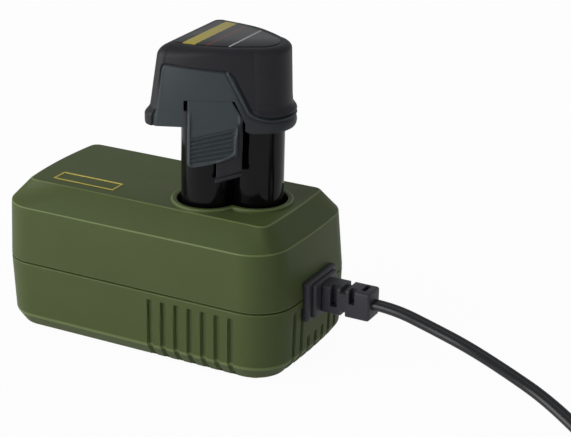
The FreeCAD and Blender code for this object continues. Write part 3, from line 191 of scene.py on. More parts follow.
def outwards(thing):
    # Turns the faces of a closed surface outwards.
    mended = bmesh.new()
    mended.from_mesh(thing.data)
    bmesh.ops.recalc_face_normals(mended, faces=mended.faces[:])
    mended.to_mesh(thing.data)
    mended.free()


def prism(points, z0, z1, place=None):
    # A closed solid over a polygon, between two heights. place maps its points.
    count = len(points)
    ends = np.concatenate([lifted(np.asarray(points, float), z) for z in (z0, z1)])
    faces = gridFaces(2, count) + [list(range(count))[::-1], list(range(count, 2 * count))]
    thing = meshObject("prism", place(*ends.T) if place else ends, faces)
    outwards(thing)
    return thing


# Outlines

def arcPoints(centre, radius, start, end, count):
    # The centre plus the radius times the cosine and the sine of each angle.
    angle = np.linspace(start, end, count)
    return np.stack([centre[0] + radius * np.cos(angle), centre[1] + radius * np.sin(angle)], -1)


def bowedOutline(left, right, halfWidth, leftCorner, rightCorner, bowLess=0.0):
    # A rectangle with bowed ends and rounded corners, anticlockwise from the left end of its front side.
    sideSteps, cornerSteps = 240, 40

    def end(tip, corner, bow, sign, turn, steps):
        # A corner's arc, the bow and the other corner's arc, all tangent, and where the straight side ends.
        y = halfWidth - corner
        x = tip - sign * (bow - math.sqrt((bow - corner) ** 2 - y ** 2))
        lean, quarter = math.asin(y / (bow - corner)), math.pi / 2
        arcs = [(x, -sign * y, corner, turn - quarter, turn - lean, cornerSteps),
                (tip - sign * bow, 0, bow, turn - lean, turn + lean, steps),
                (x, sign * y, corner, turn + lean, turn + quarter, cornerSteps)]
        return x, np.concatenate([arcPoints(arc[:2], *arc[2:])[1:] for arc in arcs])
    rightX, rightArcs = end(right, rightCorner, case["rightBow"] - bowLess, 1, 0.0, 240)
    leftX, leftArcs = end(left, leftCorner, case["leftBow"] - bowLess, -1, math.pi, 120)
    front = np.stack([np.linspace(leftX, rightX, sideSteps), np.full(sideSteps, -halfWidth)], -1)
    return np.concatenate([front, rightArcs, (front * [1, -1])[::-1][1:], leftArcs])[:-1]


def caseOutline(inset=0.0, left=0.0, right=0.0, side=0.0):
    # The case's outline, moved in all round by inset and at each end and side by more.
    half = case["length"] / 2
    return bowedOutline(-half + left + inset, half - right - inset, case["width"] / 2 - side - inset,
                        case["leftCorner"] - inset - side, case["rightCorner"] - inset - side, inset + side)


def topOutline(inset=0.0):
    # The outline of the flat top inside the hips.
    half = case["length"] / 2
    corner = max(case["topCorner"] - inset, 0.6)
    return bowedOutline(-half + case["draft"] + case["hipInsetEnd"] + inset,
                        half - case["draftRight"] - case["hipInsetEnd"] - inset,
                        case["width"] / 2 - case["draft"] - case["hipInset"] - inset,
                        corner, corner, case["topBowLess"])


def aroundSocket(outline, angles):
    # The outline's points at the given angles about the socket's axis.
    away = outline - [socket["x"], 0]
    turn = np.arctan2(away[:, 1], away[:, 0])
    order = np.argsort(turn)
    reach = np.interp(angles, turn[order], np.hypot(*away.T)[order], period=2 * math.pi)
    return np.stack([socket["x"] + reach * np.cos(angles), reach * np.sin(angles)], -1)


def lobes(radius, angles):
    # The outline of three round columns side by side, with slightly rounded valleys.
    offset, soft = socket["spacing"] / math.sqrt(3), 0.6
    reach = []
    for turn in np.radians([0, 120, 240]):
        across = offset * np.sin(angles - turn)
        inside = np.sqrt(np.maximum(radius ** 2 - across ** 2, 0.0))
        reach.append(np.where(np.abs(across) < radius, offset * np.cos(angles - turn) + inside, 0.0))
    reach = soft * np.log(np.sum(np.exp(np.array(reach) / soft), axis=0))
    return np.stack([socket["x"] + reach * np.cos(angles), reach * np.sin(angles)], -1)


def lifted(outline, z):
    # The outline's points at a height, or with a height for each.
    return np.column_stack([outline, np.broadcast_to(z, len(outline))])


# Charger case

def makeUpperShell():
    # Up the outside, over the rim, down through the socket and back under the top to the seam.
    seed = caseOutline() - [socket["x"], 0]
    angles = np.sort(np.arctan2(seed[:, 1], seed[:, 0]))
    seam, wall, height = case["seam"], case["wall"], case["height"]
    hole = socket["stalk"] + socket["gap"]
    outer = hole + socket["rimWidth"]
    rimTop = height + socket["rimHeight"]
    drafts = dict(left=case["draft"], right=case["draftRight"], side=case["draft"])

    def around(outline):
        return aroundSocket(outline, angles)
    # Each row: outline, height, how far back its corner starts to turn, how much painted highlight its corner
    # gets.
    rows = [
        (around(caseOutline(case["groove"])), seam + case["seamGap"], 0, 0),
        (around(caseOutline()), seam + case["seamHalf"], 0.3, 0.7),
        (around(caseOutline(0, **drafts)), case["hip"], 0.45, 1),
        (around(topOutline()), height, 0.6, 1),
        (lobes(outer, angles), height, 0.2, 0),
        (lobes(outer - socket["rimLean"], angles), rimTop, 0.8, 0.8),
        (lobes(hole, angles), rimTop, 0.7, 0.6),
        (lobes(hole, angles), height - wall, 0.3, 0),
        (around(topOutline(wall * 0.7)), height - wall, 0.3, 0),
        (around(caseOutline(wall, **drafts)), case["hip"] - wall / 2, 0.5, 0),
        (around(caseOutline(wall)), seam, 0, 0)]
    outlines, heights, setbacks, paintedHighlight = zip(*rows)
    sections = [lifted(outline, z) for outline, z in zip(outlines, heights)]
    rings, wear = roundedColumns(sections, setbacks, paintedHighlight)
    shell = ringObject("upperShell", rings, wrap=True)
    # The painted highlight, a lighter colour along the creases, kept for each ring.
    keepValues(shell, "edge", np.repeat(wear, len(rings[0])))
    return shell


grips = dict(count=7, pitch=6.03, width=2.5, depth=1.25, first=8.6, top=26.9, shortTop=12.5, shortReach=1.5,
             edge=0.5, sideFrom=20, endFrom=50)


def gripDepth(outline, z):
    # How far the upright grooves, whose tops are round, push in each point of a ring.
    x, y = outline.T
    half = grips["width"] / 2
    depth = np.zeros(len(outline))
    along = [(x, grips["first"] + i * grips["pitch"], grips["top"], np.abs(y) > grips["sideFrom"])
             for i in range(grips["count"])]
    middle = (grips["count"] - 1) / 2
    for i in range(grips["count"]):
        top = grips["shortTop"] if abs(i - middle) < grips["shortReach"] else grips["top"]
        along.append((y, (i - middle) * grips["pitch"], top, x > grips["endFrom"]))
    for value, centre, top, here in along:
        away = np.hypot(value - centre, max(z - (top - half), 0.0))
        depth = np.maximum(depth, np.where(here, grips["depth"] * smooth(away, half, -grips["edge"]), 0))
    return depth


def makeLowerShell():
    # Across the floor, up the grooved wall, over the seam and down the inside.
    low, seam, inset, wall = case["foot"], case["seam"], case["baseInset"], case["wall"]
    bend = low + case["chamfer"]
    drafts = dict(left=case["lowDraftLeft"], right=case["lowDraft"], side=case["lowDraft"])
    base = lifted(caseOutline(inset, **drafts), low)
    knee = lifted(caseOutline(0, **drafts), bend)
    high = lifted(caseOutline(), seam - case["seamHalf"])
    edge = lifted(caseOutline(case["groove"]), seam - case["seamGap"])
    # The last list is the painted highlight on each corner: a lighter colour along the floor's edge, the knee
    # and the seam.
    outside, wear = roundedColumns([base * [0.97, 0.95, 1], base, knee, high, edge],
                                   [0, 0.8, 1.0, 0.3, 0], [0, 0.5, 0.9, 0.5, 0], steps=7)
    # The grooves need rings close together.
    ringGap = 0.8
    # Each run's first ring keeps its painted highlight; the rings between get none.
    dense, denseHighlight = [], []
    for lower, upper, edgeHighlight in zip(outside, outside[1:], wear):
        parts = max(int((upper[0, 2] - lower[0, 2]) / ringGap), 1)
        dense += [lower + (upper - lower) * k / parts for k in range(parts)]
        denseHighlight += [edgeHighlight] + [0.0] * (parts - 1)
    dense.append(outside[-1])
    rings = []
    for ring in dense:
        outline, z = ring[:, :2], ring[0, 2]
        pushed = outline + inwardOf(outline) * gripDepth(outline, z)[:, None]
        rings.append(lifted(pushed, z) if z > low + 0.01 else ring)
    inside = [lifted(caseOutline(wall), seam - case["seamGap"]),
              lifted(caseOutline(wall, **drafts), bend + 1),
              lifted(caseOutline(wall + inset, **drafts), low + wall)]
    shell = ringObject("lowerShell", rings + inside)
    # The painted highlight along the creases, kept for each ring.
    keepValues(shell, "edge", np.repeat(denseHighlight, len(rings[0])))
    corners = [(x, y) for x in (-case["footX"], case["footX"]) for y in (-case["footY"], case["footY"])]
    shell = joinObjects("lowerShell", [shell] + [lowerFoot(place) for place in corners])
    bores = [prism(roundOutline(place, case["screwBore"], 32), -1, case["boreTop"]) for place in corners]
    return cutAway(shell, bores)


def roundOutline(centre, radius, count):
    # A circle as points that close on themselves.
    return arcPoints(centre, radius, 0, 2 * math.pi, count + 1)[:-1]


def lowerFoot(centre):
    # A low round foot, whose radii rise with its height into the shell's floor.
    profile = [(3.9, 0), (4.2, 0), (4.55, 0.35), (4.9, 1.0), (4.95, 1.9), (3.6, 17.9)]
    return ringObject("foot", [lifted(roundOutline(centre, radius, 48), z) for radius, z in profile])


# Battery cap

# tint and the key after it paint shade: where and by how much the panels' lighter tone fades towards the apex.
cap = dict(corner=5.5, apex=10.5, top=126.8, wall=1.8, backRound=4.0, apexRound=2.8,
           flareLow=100.7, flareHigh=104.2, flare=1.3, taper=2.2, panelFoot=96.5, panelTop=119.0,
           panelLow=96.9, brimLow=94.2, brim=(2.6, 5.0), lip=2.2, lipTurn=0.9, lipShare=0.35,
           toBack=(6, -20), tint=(8, 8), apexShadeDepth=0.7, lineSoft=0.5, lineBack=18.2)
flankCos, flankSin = math.cos(math.radians(28.0)), math.sin(math.radians(28.0))

# Grow, the back's reach, the apex's radius, half the width over the rear corners, the flank's bow.
capSections = np.array([(-9.5, 15.2, 6.9, 14.8, 2.3), (-3.5, 20.8, 12.9, 24.3, 2.1),
                        (-1.3, 22.5, 13.7, 28.4, 1.2), (0.0, 23.9, 15.5, 30.8, 0.8),
                        (1.0, 24.9, 16.5, 32.2, 0.8)]).T


def growOutline(grow):
    # The cap's outline, moved out by grow, from the middle of its back by the front flank.
    backSteps, cornerSteps, flankSteps, apexSteps = 30, 26, 170, 56
    corner = max(cap["corner"] + grow / 2, 1.0)
    back, radius, halfWidth, bow = (np.interp(grow, capSections[0], row) for row in capSections[1:])
    cornerX, cornerY = -back + corner, halfWidth - corner
    run = math.hypot(cap["apex"] - cornerX, cornerY)
    lean = math.atan2(cornerY, cap["apex"] - cornerX) - math.asin((radius - corner) / run)
    side = np.array([math.sin(lean), -math.cos(lean)])
    start = np.array([cornerX, -cornerY]) + corner * side
    end = np.array([cap["apex"], 0]) + radius * side
    t = np.linspace(0, 1, flankSteps)[:, None]
    flank = start + (end - start) * t + 4 * bow * t * (1 - t) * side
    facing = math.atan2(side[1], side[0])
    front = np.concatenate([
        np.stack([np.full(backSteps, -back), np.linspace(0, -cornerY, backSteps)], -1),
        arcPoints((cornerX, -cornerY), corner, -math.pi, facing, cornerSteps)[1:],
        flank[1:], arcPoints((cap["apex"], 0), radius, facing, 0, apexSteps)[1:]])
    return np.concatenate([front, (front * [1, -1])[::-1][1:-1]]) + [socket["x"], 0]


growLevels = np.linspace(-9.5, 1.0, 22)
growStack = np.array([growOutline(grow) for grow in growLevels])


def capGrow(z):
    # How far out the cap's wall stands: less above a shoulder, then less again up to the top.
    shoulder = smooth(z, cap["flareLow"], cap["flareHigh"] - cap["flareLow"])
    rise = np.clip((z - cap["flareHigh"]) / (cap["top"] - cap["flareHigh"]), 0, 1)
    return -cap["flare"] * shoulder - cap["taper"] * rise


def panelGrow(z):
    # The side panels run straight from their foot up to the parting line.
    rise = np.clip((z - cap["panelFoot"]) / (cap["panelTop"] - cap["panelFoot"]), 0, 1)
    return capGrow(np.float64(cap["panelTop"])) * rise


def stackShare(grow):
    # The stack's level below each grow, and the share of the way on to the next.
    place = (grow - growLevels[0]) / (growLevels[1] - growLevels[0])
    low = np.clip(place.astype(int), 0, len(growLevels) - 2)
    return low, place - low


def capFace(z, inset=0.0, panel=0.0):
    # The ring of the cap's face with a height, an inset and a share of panel for each column.
    z = np.broadcast_to(z, growStack.shape[1]).astype(float)
    low, share = stackShare(capGrow(z) * (1 - panel) + panelGrow(z) * panel - inset)
    column = np.arange(growStack.shape[1])
    outline = growStack[low, column] * (1 - share)[:, None] + growStack[low + 1, column] * share[:, None]
    return np.column_stack([outline, z])


def alongFlank(points):
    # Places about the battery's axis as distances along the front flank and out of it.
    x, y = points[..., 0] - socket["x"], points[..., 1]
    return x * flankCos + y * flankSin, x * flankSin - y * flankCos


flankPlaces = np.linspace(-24, 12, 289)
flankColumns = slice(45, 240)  # from inside the rear corner to a little round the apex
flankReach = np.array([np.interp(flankPlaces, *alongFlank(ring[flankColumns])) for ring in growStack])


def offFlank(s, out, z, back):
    # The place s along the flank and out from the axis. The back one is its mirror image.
    y = s * flankSin - out * flankCos
    return np.stack([socket["x"] + s * flankCos + out * flankSin, -y if back else y, z], -1)


def flankPoint(s, z, depth, back=False):
    # The places s along the flank at heights z, a depth under the cap's face.
    s, z, depth = np.broadcast_arrays(np.asarray(s, float), np.asarray(z, float), depth)
    low, share = stackShare(panelGrow(z))
    place = (s - flankPlaces[0]) / (flankPlaces[1] - flankPlaces[0])
    place = np.clip(place, 0, len(flankPlaces) - 1.001)
    column = place.astype(int)
    part = place - column
    lower, upper = [flankReach[level, column] * (1 - part) + flankReach[level, column + 1] * part
                    for level in (low, low + 1)]
    return offFlank(s, lower * (1 - share) + upper * share - depth, z, back)


def roundedPath(points, radius):
    # A polyline with its corners turned as parabolas.
    points = np.asarray(points, float)
    path, t = [points[:1]], np.linspace(0, 1, 14)[:, None]
    for before, here, after in zip(points, points[1:], points[2:]):
        a = here + (before - here) * min(radius / np.linalg.norm(before - here), 0.5)
        b = here + (after - here) * min(radius / np.linalg.norm(after - here), 0.5)
        path.append(parabola(a, here, b, t))
    return np.concatenate(path + [points[-1:]])


def nearLine(path, width, x, z):
    # One on a polyline, falling off as exp(-(d / width) ** 2) with the least distance d to it.
    best = np.full(np.shape(x), 1e9)
    for (ax, az), (bx, bz) in zip(path, path[1:]):
        dx, dz = bx - ax, bz - az
        size = dx * dx + dz * dz
        if size > 1e-12:
            t = np.clip(((x - ax) * dx + (z - az) * dz) / size, 0, 1)
            best = np.minimum(best, np.hypot(x - ax - t * dx, z - az - t * dz))
    return np.exp(-(best / width) ** 2)


def inwardOf(outline):
    # The unit direction into an anticlockwise outline at each of its points.
    along = np.roll(outline, -1, 0) - np.roll(outline, 1, 0)
    inward = np.stack([-along[:, 1], along[:, 0]], -1)
    return inward / np.linalg.norm(inward, axis=1, keepdims=True)


# Lines along the cap's side, as X from the battery's axis and height.
partingCorners = np.array([(-18.0, 90), (-18.0, 120.1), (9.3, 118.1), (16.2, 102.2), (22.0, 100.2),
                           (40, 100.0)])
partingLine = roundedPath(partingCorners, 2.6)
beadLine = roundedPath(partingCorners[2:] + [(-1.3, -0.1), (-0.7, -0.65), (-0.3, -0.85), (0, -0.85)], 2.2)
innerLine = roundedPath(partingCorners[2:] + [(-2.2, -0.2), (-1.4, -1.35), (-0.6, -1.75), (0, -1.75)], 2.2)
# How wide each of the lines is and how deep it is cut. The bead stands out.
lineCuts = ((partingLine, 0.36, 0.7), (beadLine, 0.42, -0.5), (innerLine, 0.28, 0.35))


def makeCap():
    # The dome and the skirt as one closed shell, with a groove and a bead between them.
    flare = growStack[np.argmin(np.abs(growLevels))]
    along, _ = alongFlank(np.column_stack([flare[:, 0], -np.abs(flare[:, 1])]))
    local = flare[:, 0] - socket["x"]
    low = smooth(along, *cap["brim"])
    bottom = cap["panelLow"] + (cap["brimLow"] - cap["panelLow"]) * low
    fillet = cap["apexRound"] + (cap["backRound"] - cap["apexRound"]) * smooth(local, *cap["toBack"])
    topWall = cap["top"] - fillet
    lineX, lineZ = partingLine[1:].T
    lineTop = np.interp(local, lineX + np.arange(len(lineX)) * 1e-6, lineZ)
    # The rings stand close together at the lip and evenly above it.
    rise = 26.6
    heights = np.concatenate([[0, 0.2, 0.5, 0.9, 1.4, 2.0, 2.7], np.linspace(3.4, rise, 104)]) / rise
    soft, atApex = cap["lineSoft"], local > cap["tint"][0]
    rings, shares = [], []
    for share in heights:
        z = bottom + (topWall - bottom) * share
        panel = smooth((lineTop - z) / soft + 0.5) * smooth((local + cap["lineBack"]) / soft + 0.5)
        ring = capFace(z, 0.0, panel)
        roll = np.clip(1 - (z - bottom) / cap["lip"], 0, 1)
        push = cap["lipTurn"] * (1 - np.sqrt(np.maximum(1 - roll ** 2, 0)))
        push = push * (cap["lipShare"] + (1 - cap["lipShare"]) * low)
        cuts = [nearLine(path, width, local, z) for path, width, _ in lineCuts]
        for cut, (_, _, depth) in zip(cuts, lineCuts):
            push = push + depth * cut
        ring[:, :2] += inwardOf(ring[:, :2]) * push[:, None]
        rings.append(ring)
        # Painted shade: the panels' lighter tone fades towards the apex. Painted highlight: at the apex the
        # bead takes that lighter tone.
        apexShade = 1 - cap["apexShadeDepth"] * smooth(local, *cap["tint"])
        shares.append(np.maximum(panel * apexShade, cuts[1] * atApex))
    for turn in np.linspace(0, math.pi / 2, 12)[1:]:
        rings.append(capFace(cap["top"] - fillet * (1 - math.sin(turn)), fillet * (1 - math.cos(turn))))
    middle = rings[-1].mean(0)
    ceiling = [middle + (rings[-1] - middle) * k for k in (0.98, 0.7, 0.4, 0.1)]
    wall = cap["wall"]
    inside = [ring - [0, 0, wall] for ring in ceiling[::-1][:3]]
    inside += [capFace(cap["top"] - wall, fillet + 1.0), capFace(cap["top"] - wall - 3, wall + 0.4)]
    inside += [capFace(z, wall) for z in (cap["flareHigh"], cap["flareLow"])]
    inside += [capFace(bottom + 1.2, wall), capFace(bottom, wall + 0.2)]
    shell = ringObject("batteryCap", inside + rings + ceiling)
    keepValues(shell, "panel", np.ravel([local * 0] * len(inside) + shares))
    return cutAway(shell, [latchOpening(back) for back in (False, True)])


film = dict(inset=8.0, sunk=0.02, edge=0.2, top=0.26, edgeInset=0.15)


def makeLabel():
    # A thin film on the flat of the cap, a little inside its edge.
    outline, inner = growOutline(-film["inset"]), growOutline(-film["inset"] - film["edgeInset"])
    rings = [lifted(outline, cap["top"] - film["sunk"]), lifted(outline, cap["top"] + film["edge"]),
             lifted(inner, cap["top"] + film["top"])]
    return ringObject("batteryLabel", rings, sharp=30)


# Release latches

tab = dict(left=17.1, right=4.0, rightTop=4.2, top=107.0, low=80.6, slant=5.6, slantPower=1.35, bend=98.5,
           leftGap=1.5, rightGap=0.9, thickness=1.8, corner=2.0, bendRun=8.0, openLow=70.0, openIn=12.0,
           openOut=30.0, sideRound=0.35, sideSoft=0.3, topRound=0.6, topSoft=0.4, rootAlong=-7, rootDepth=0.5)
# The part right of the ridge stands back, by more in front than behind, below a height.
setBack = dict(along=(2.0, 0.5), below=(99.5, -3), front=1.15, rear=0.4)
# The ridge's tint is a painted highlight, lighter where the ridge stands out.
ridge = dict(height=0.62, width=0.5, below=(103.5, -5), tint=0.9)
ridgeLine = roundedPath([(-16.3, 104), (-16.2, 80.9), (-7.1, 82.3), (1.3, 86.3), (1.5, 93), (3.0, 99),
                         (2.6, 103)], 2.0)
# The ribs climb and widen to the right. Each rises to its peak and falls off behind it.
ribs = dict(count=6, left=(-15.9, 0.5), right=(0.8, -0.5), start=-15.7, run=16, low=82.4, climb=3.0,
            pitch=1.68, widen=0.2, height=0.7, sunk=0.35, peak=0.8, fall=0.82)


def latchOpening(back):
    # The window in the cap round the tab, from inside the cap's wall to beyond its face.
    def place(s, z, out):
        return offFlank(s, out, z, back)
    left, right = -tab["left"] - tab["leftGap"], tab["right"] + tab["rightGap"]
    top, low = tab["top"] + 0.02, tab["openLow"]
    edge = [(left, top), (left, low), (right, low), (right, tab["bend"]), (right - tab["rightTop"], top)]
    return prism(edge, tab["openIn"], tab["openOut"], place)


def makeTab(back):
    # The springy tab on a grid: flush above, a rim round a ribbed field below.
    rows, columns, corner = 190, 96, tab["corner"]
    v = np.linspace(0, 1, rows)[:, None]
    left, top, low = -tab["left"], tab["top"], tab["low"]
    across = np.linspace(0, 1, columns)[None, :]
    middle = top + (low - top) * v
    right = tab["right"] - tab["rightTop"] * np.clip((middle - tab["bend"]) / (top - tab["bend"]), 0, 1)
    fromEnd = (1 - v) * (top - low)
    pull = corner - np.sqrt(np.maximum(corner ** 2 - np.maximum(corner - fromEnd, 0) ** 2, 0))
    s = left + pull + (right - left - 2 * pull) * across
    slant = tab["slant"] * ((s - left) / (tab["right"] - left)) ** tab["slantPower"]
    z = top + (low + slant - top) * v
    raised = ridge["height"] * smooth(z, *ridge["below"]) * nearLine(ridgeLine, ridge["width"], s, z)
    field = smooth(s, *ribs["left"]) * smooth(s, *ribs["right"])
    width = (s - ribs["start"]) / ribs["run"]
    phase = (z - ribs["low"] - ribs["climb"] * width) / (ribs["pitch"] + ribs["widen"] * width)
    step = np.mod(phase, 1)
    ribbed = field * (phase > 0) * (phase < ribs["count"])
    saw = smooth(step, 0, ribs["peak"]) - smooth(step, ribs["fall"], 1 - ribs["fall"])
    rib = ribbed * (ribs["height"] * saw - ribs["sunk"])
    beyond = smooth(s, *setBack["along"]) * smooth(z, *setBack["below"])
    edge = np.minimum(s - s[:, :1], s[:, -1:] - s)
    soft = tab["sideSoft"] * np.clip(1 - edge / tab["sideRound"], 0, 1) ** 2
    soft = soft + tab["topSoft"] * np.clip(1 - fromEnd / tab["topRound"], 0, 1) ** 2
    fore = flankPoint(s, z, setBack["front"] * beyond + soft - raised - rib, back)
    rear = flankPoint(s, z, tab["thickness"] + setBack["rear"] * beyond, back)
    rings = np.concatenate([fore, rear[:, ::-1]], 1)
    # Painted shade: the panels' lighter tone fades out right of the ridge. Painted highlight: the raised ridge
    # is lighter still.
    plain = 1 - 0.95 * smooth(s, 1.4, 0.8) * smooth(z, 101, -3) + raised * ridge["tint"]
    shade = np.concatenate([plain, plain[:, ::-1]], 1)
    plate = ringObject("tab", rings if back else rings[::-1], sharp=50)

    def lean(s, z, depth):
        return flankPoint(s, z + 0.3 * (s + 6), depth, back)
    hook = roundedBox((-6.0, 74.8, 1.5), (3.7, 84, 2.6), 0.3, bend=lean)
    lip = roundedBox((-6.5, 74.3, 0.5), (3.9, 76.0, 2.6), 0.5, bend=lean)
    made = joinObjects("rearTab" if back else "frontTab", [plate, hook, lip])
    outwards(made)
    keepValues(made, "panel", np.ravel(shade if back else shade[::-1]))
    return made


# Strain relief and mains lead

lead = dict(width=5.8, thickness=3.6, exit=88.8, height=29.0, clear=0.05, coilOuter=46.0, coilInner=25.5,
            enter=219.5, leave=270.0, turns=7, climb=72.0, runIn=11, runOut=16)
coilCentre = np.array([229.0, 1.0, 0.0])


def makeRelief():
    # Moulded on the lead: a stepped flange and a square bar, notched in turn from each side.
    end, axis = case["length"] / 2, lead["height"]

    def slab(x0, x1, width, height, radius=0.6, y=0.0, z=0.0):
        low = (x0, y - width / 2, axis + z - height / 2)
        return roundedBox(low, (x1, y + width / 2, axis + z + height / 2), radius)
    # The flange's plate and its step, two blocks inside the wall, and the bar.
    solids = [slab(end - 1.2, 66.7, 25, 16.4, 1.1), slab(66.4, 68.4, 19.2, 14.2, 0.8),
              slab(end - 9, end - 1, 7.4, 8, 0.3), slab(end - 9, end - 5.2, 12.4, 12, 0.6),
              slab(68.0, lead["exit"], 10, 11.6, 1.0)]
    made = joinObjects("strainRelief", solids)
    slots = []
    for side in (1, -1):
        slots += [slab(72.3, 75.2, 4.6, 9.0, 0.3, y=-side * 3.9, z=side * 2.0),
                  slab(76.5, 78.8, 12, 3.4, 0.3, z=-side * 5.4),
                  slab(80.1, 82.6, 4.6, 6.6, 0.3, y=-side * 3.9, z=side * 3.4),
                  slab(84.0, 86.0, 5.6, 3.0, 0.3, y=side * 0.5, z=side * 5.2)]
    return cutAway(made, slots)


badge = dict(length=14.6, width=4.5, x=-31.8, y=-15.6, lineIn=(13.2, 3.1), lineOut=(14.3, 4.2))


def makeBadge():
    # A plate let into the top, with a raised frame line round a bare field.
    def ring(grow, z, radius):
        halfLength, halfWidth = badge["length"] + grow - radius, badge["width"] + grow - radius
        outline = np.concatenate([
            arcPoints((x * halfLength, y * halfWidth), radius, math.radians(a), math.radians(a + 90), 9)
            for x, y, a in ((1, -1, -90), (1, 1, 0), (-1, 1, 90), (-1, -1, 180))])
        return lifted(outline + [badge["x"], badge["y"]], case["height"] + z)
    # Each ring's growth, height above the case's top and corner radius.
    profile = [(-3.5, -0.05, 0.3), (-1.3, -0.05, 0.4), (-1.15, 0.06, 0.5), (-1.05, 0.2, 0.5),
               (-0.45, 0.2, 0.7), (-0.3, 0.08, 0.8), (-0.12, 0.05, 0.8), (0, -0.05, 0.8), (0, -0.6, 0.8)]
    return ringObject("nameBadge", [ring(*row) for row in profile[::-1]], sharp=25)


def coilPoint(angle, reach, z):
    # The coil's centre plus reach times the cosine and the sine of the angle, at a height.
    turn = math.radians(angle)
    return coilCentre + [reach * math.cos(turn), reach * math.sin(turn), z]


def coilHeading(angle):
    # The way the lead runs where it meets the coil at an angle.
    turn = math.radians(angle)
    return np.array([-math.sin(turn), math.cos(turn), 0])


def leadRoute():
    # Control points of the lead: down to the floor, round the flat coil and on to the plug.
    floor = lead["thickness"] / 2 + lead["clear"]
    upper = floor + lead["thickness"] + lead["clear"]
    enter, leave = lead["enter"], lead["leave"] + 360 * lead["turns"]
    outer, inner, climb = lead["coilOuter"], lead["coilInner"], lead["climb"]
    points = [(lead["exit"], 0, lead["height"]), (97.5, 0, lead["height"]), (113, 0.3, 24.6),
              (129, -1.3, 20.8), (145, 0.3, 13.2), (160, -1.1, 7.2), (177, -9.5, floor),
              coilPoint(enter, outer, floor) - coilHeading(enter) * lead["runIn"]]
    # The coil winds inwards on the floor, climbs onto itself and winds outwards again.
    step, run = 30.0, leave - enter
    inward = (run - climb) / 2
    for angle in np.arange(enter + step / 2, leave, step):
        gone = angle - enter
        reach = np.interp(gone, [0, inward, inward + climb, run], [outer, inner, inner, outer])
        z = np.interp(gone, [inward, inward + climb], [floor, upper])
        points.append(coilPoint(angle, reach / math.cos(math.radians(step / 2)), z))
    points += [coilPoint(leave, outer, upper) + coilHeading(leave) * lead["runOut"],
               coilCentre + [47.2, -outer, floor], coilCentre + [67, -26.2, floor + 1.9],
               coilCentre + [67, -4.2, 6.85]]
    return np.array(points, float)


def makeLead():
    # A flat twin cord swept along the route, its wide side level all the way.
    route = leadRoute()
    curve = bpy.data.curves.new("leadRoute", "CURVE")
    curve.dimensions = "3D"
    spline = curve.splines.new("NURBS")
    spline.points.add(len(route) - 1)
    for point, place in zip(spline.points, route):
        point.co = (*(place * mm), 1.0)
    spline.order_u = 3
    spline.use_endpoint_u = True
    spline.resolution_u = 10
    guide = addObject("leadRoute", curve)
    graph = bpy.context.evaluated_depsgraph_get()
    drawn = bpy.data.meshes.new_from_object(guide.evaluated_get(graph))
    line = np.array([v.co[:] for v in drawn.vertices]) / mm
    bpy.data.objects.remove(guide)
    ahead = np.gradient(line, axis=0)
    ahead /= np.linalg.norm(ahead, axis=1, keepdims=True)
    across = np.cross([0, 0, 1.0], ahead)
    across /= np.linalg.norm(across, axis=1, keepdims=True)
    over = np.cross(ahead, across)
    # Two round cores side by side: the outer of both, with a shallow furrow where they meet.
    turn = np.linspace(0, 2 * math.pi, 28, endpoint=False)
    cosine, sine, thick = np.cos(turn), np.sin(turn), lead["thickness"] / 2
    offset = lead["width"] / 2 - thick
    reach = offset * np.abs(cosine) + np.sqrt(np.maximum(thick ** 2 - (offset * sine) ** 2, 0))
    wide, tall = cosine * reach, sine * reach
    rings = [p + np.outer(wide, w) + np.outer(tall, u) for p, w, u in zip(line, across, over)]
    return ringObject("mainsLead", rings, sharp=80), line


# Shader helpers

class Value:
    # A shader socket that reads like a number.
    def __init__(self, shader, socket):
        self.shader, self.socket = shader, socket

    def math(self, operation, *inputs):
        return self.shader.node("ShaderNodeMath", inputs=dict(enumerate(inputs)), operation=operation)

    def __add__(self, other):
        return self.math("ADD", self, other)

    def __sub__(self, other):
        return self.math("SUBTRACT", self, other)

    def __rsub__(self, other):
        return self.math("SUBTRACT", other, self)

    def __mul__(self, other):
        return self.math("MULTIPLY", self, other)

    def __lt__(self, other):
        return self.math("LESS_THAN", self, other)

    def __gt__(self, other):
        return self.math("GREATER_THAN", self, other)

    def __abs__(self):
        return self.math("ABSOLUTE", self)

    __radd__, __rmul__ = __add__, __mul__


class Shader:
    # The node tree of a material or of the world.
    def __init__(self, owner):
        owner.use_nodes = True
        self.tree = owner.node_tree

    def node(self, kind, output=0, inputs=None, **settings):
        # Any node: its settings are set first, then its inputs are linked or set.
        made = self.tree.nodes.new(kind)
        for key, value in settings.items():
            setattr(made, key, value)
        for key, value in (inputs or {}).items():
            self.feed(made.inputs[key], value)
        return Value(self, made.outputs[output])

    def feed(self, socket, value):
        # Links a value to a socket, or sets the socket to it.
        if isinstance(value, Value):
            self.tree.links.new(value.socket, socket)
        else:
            socket.default_value = value


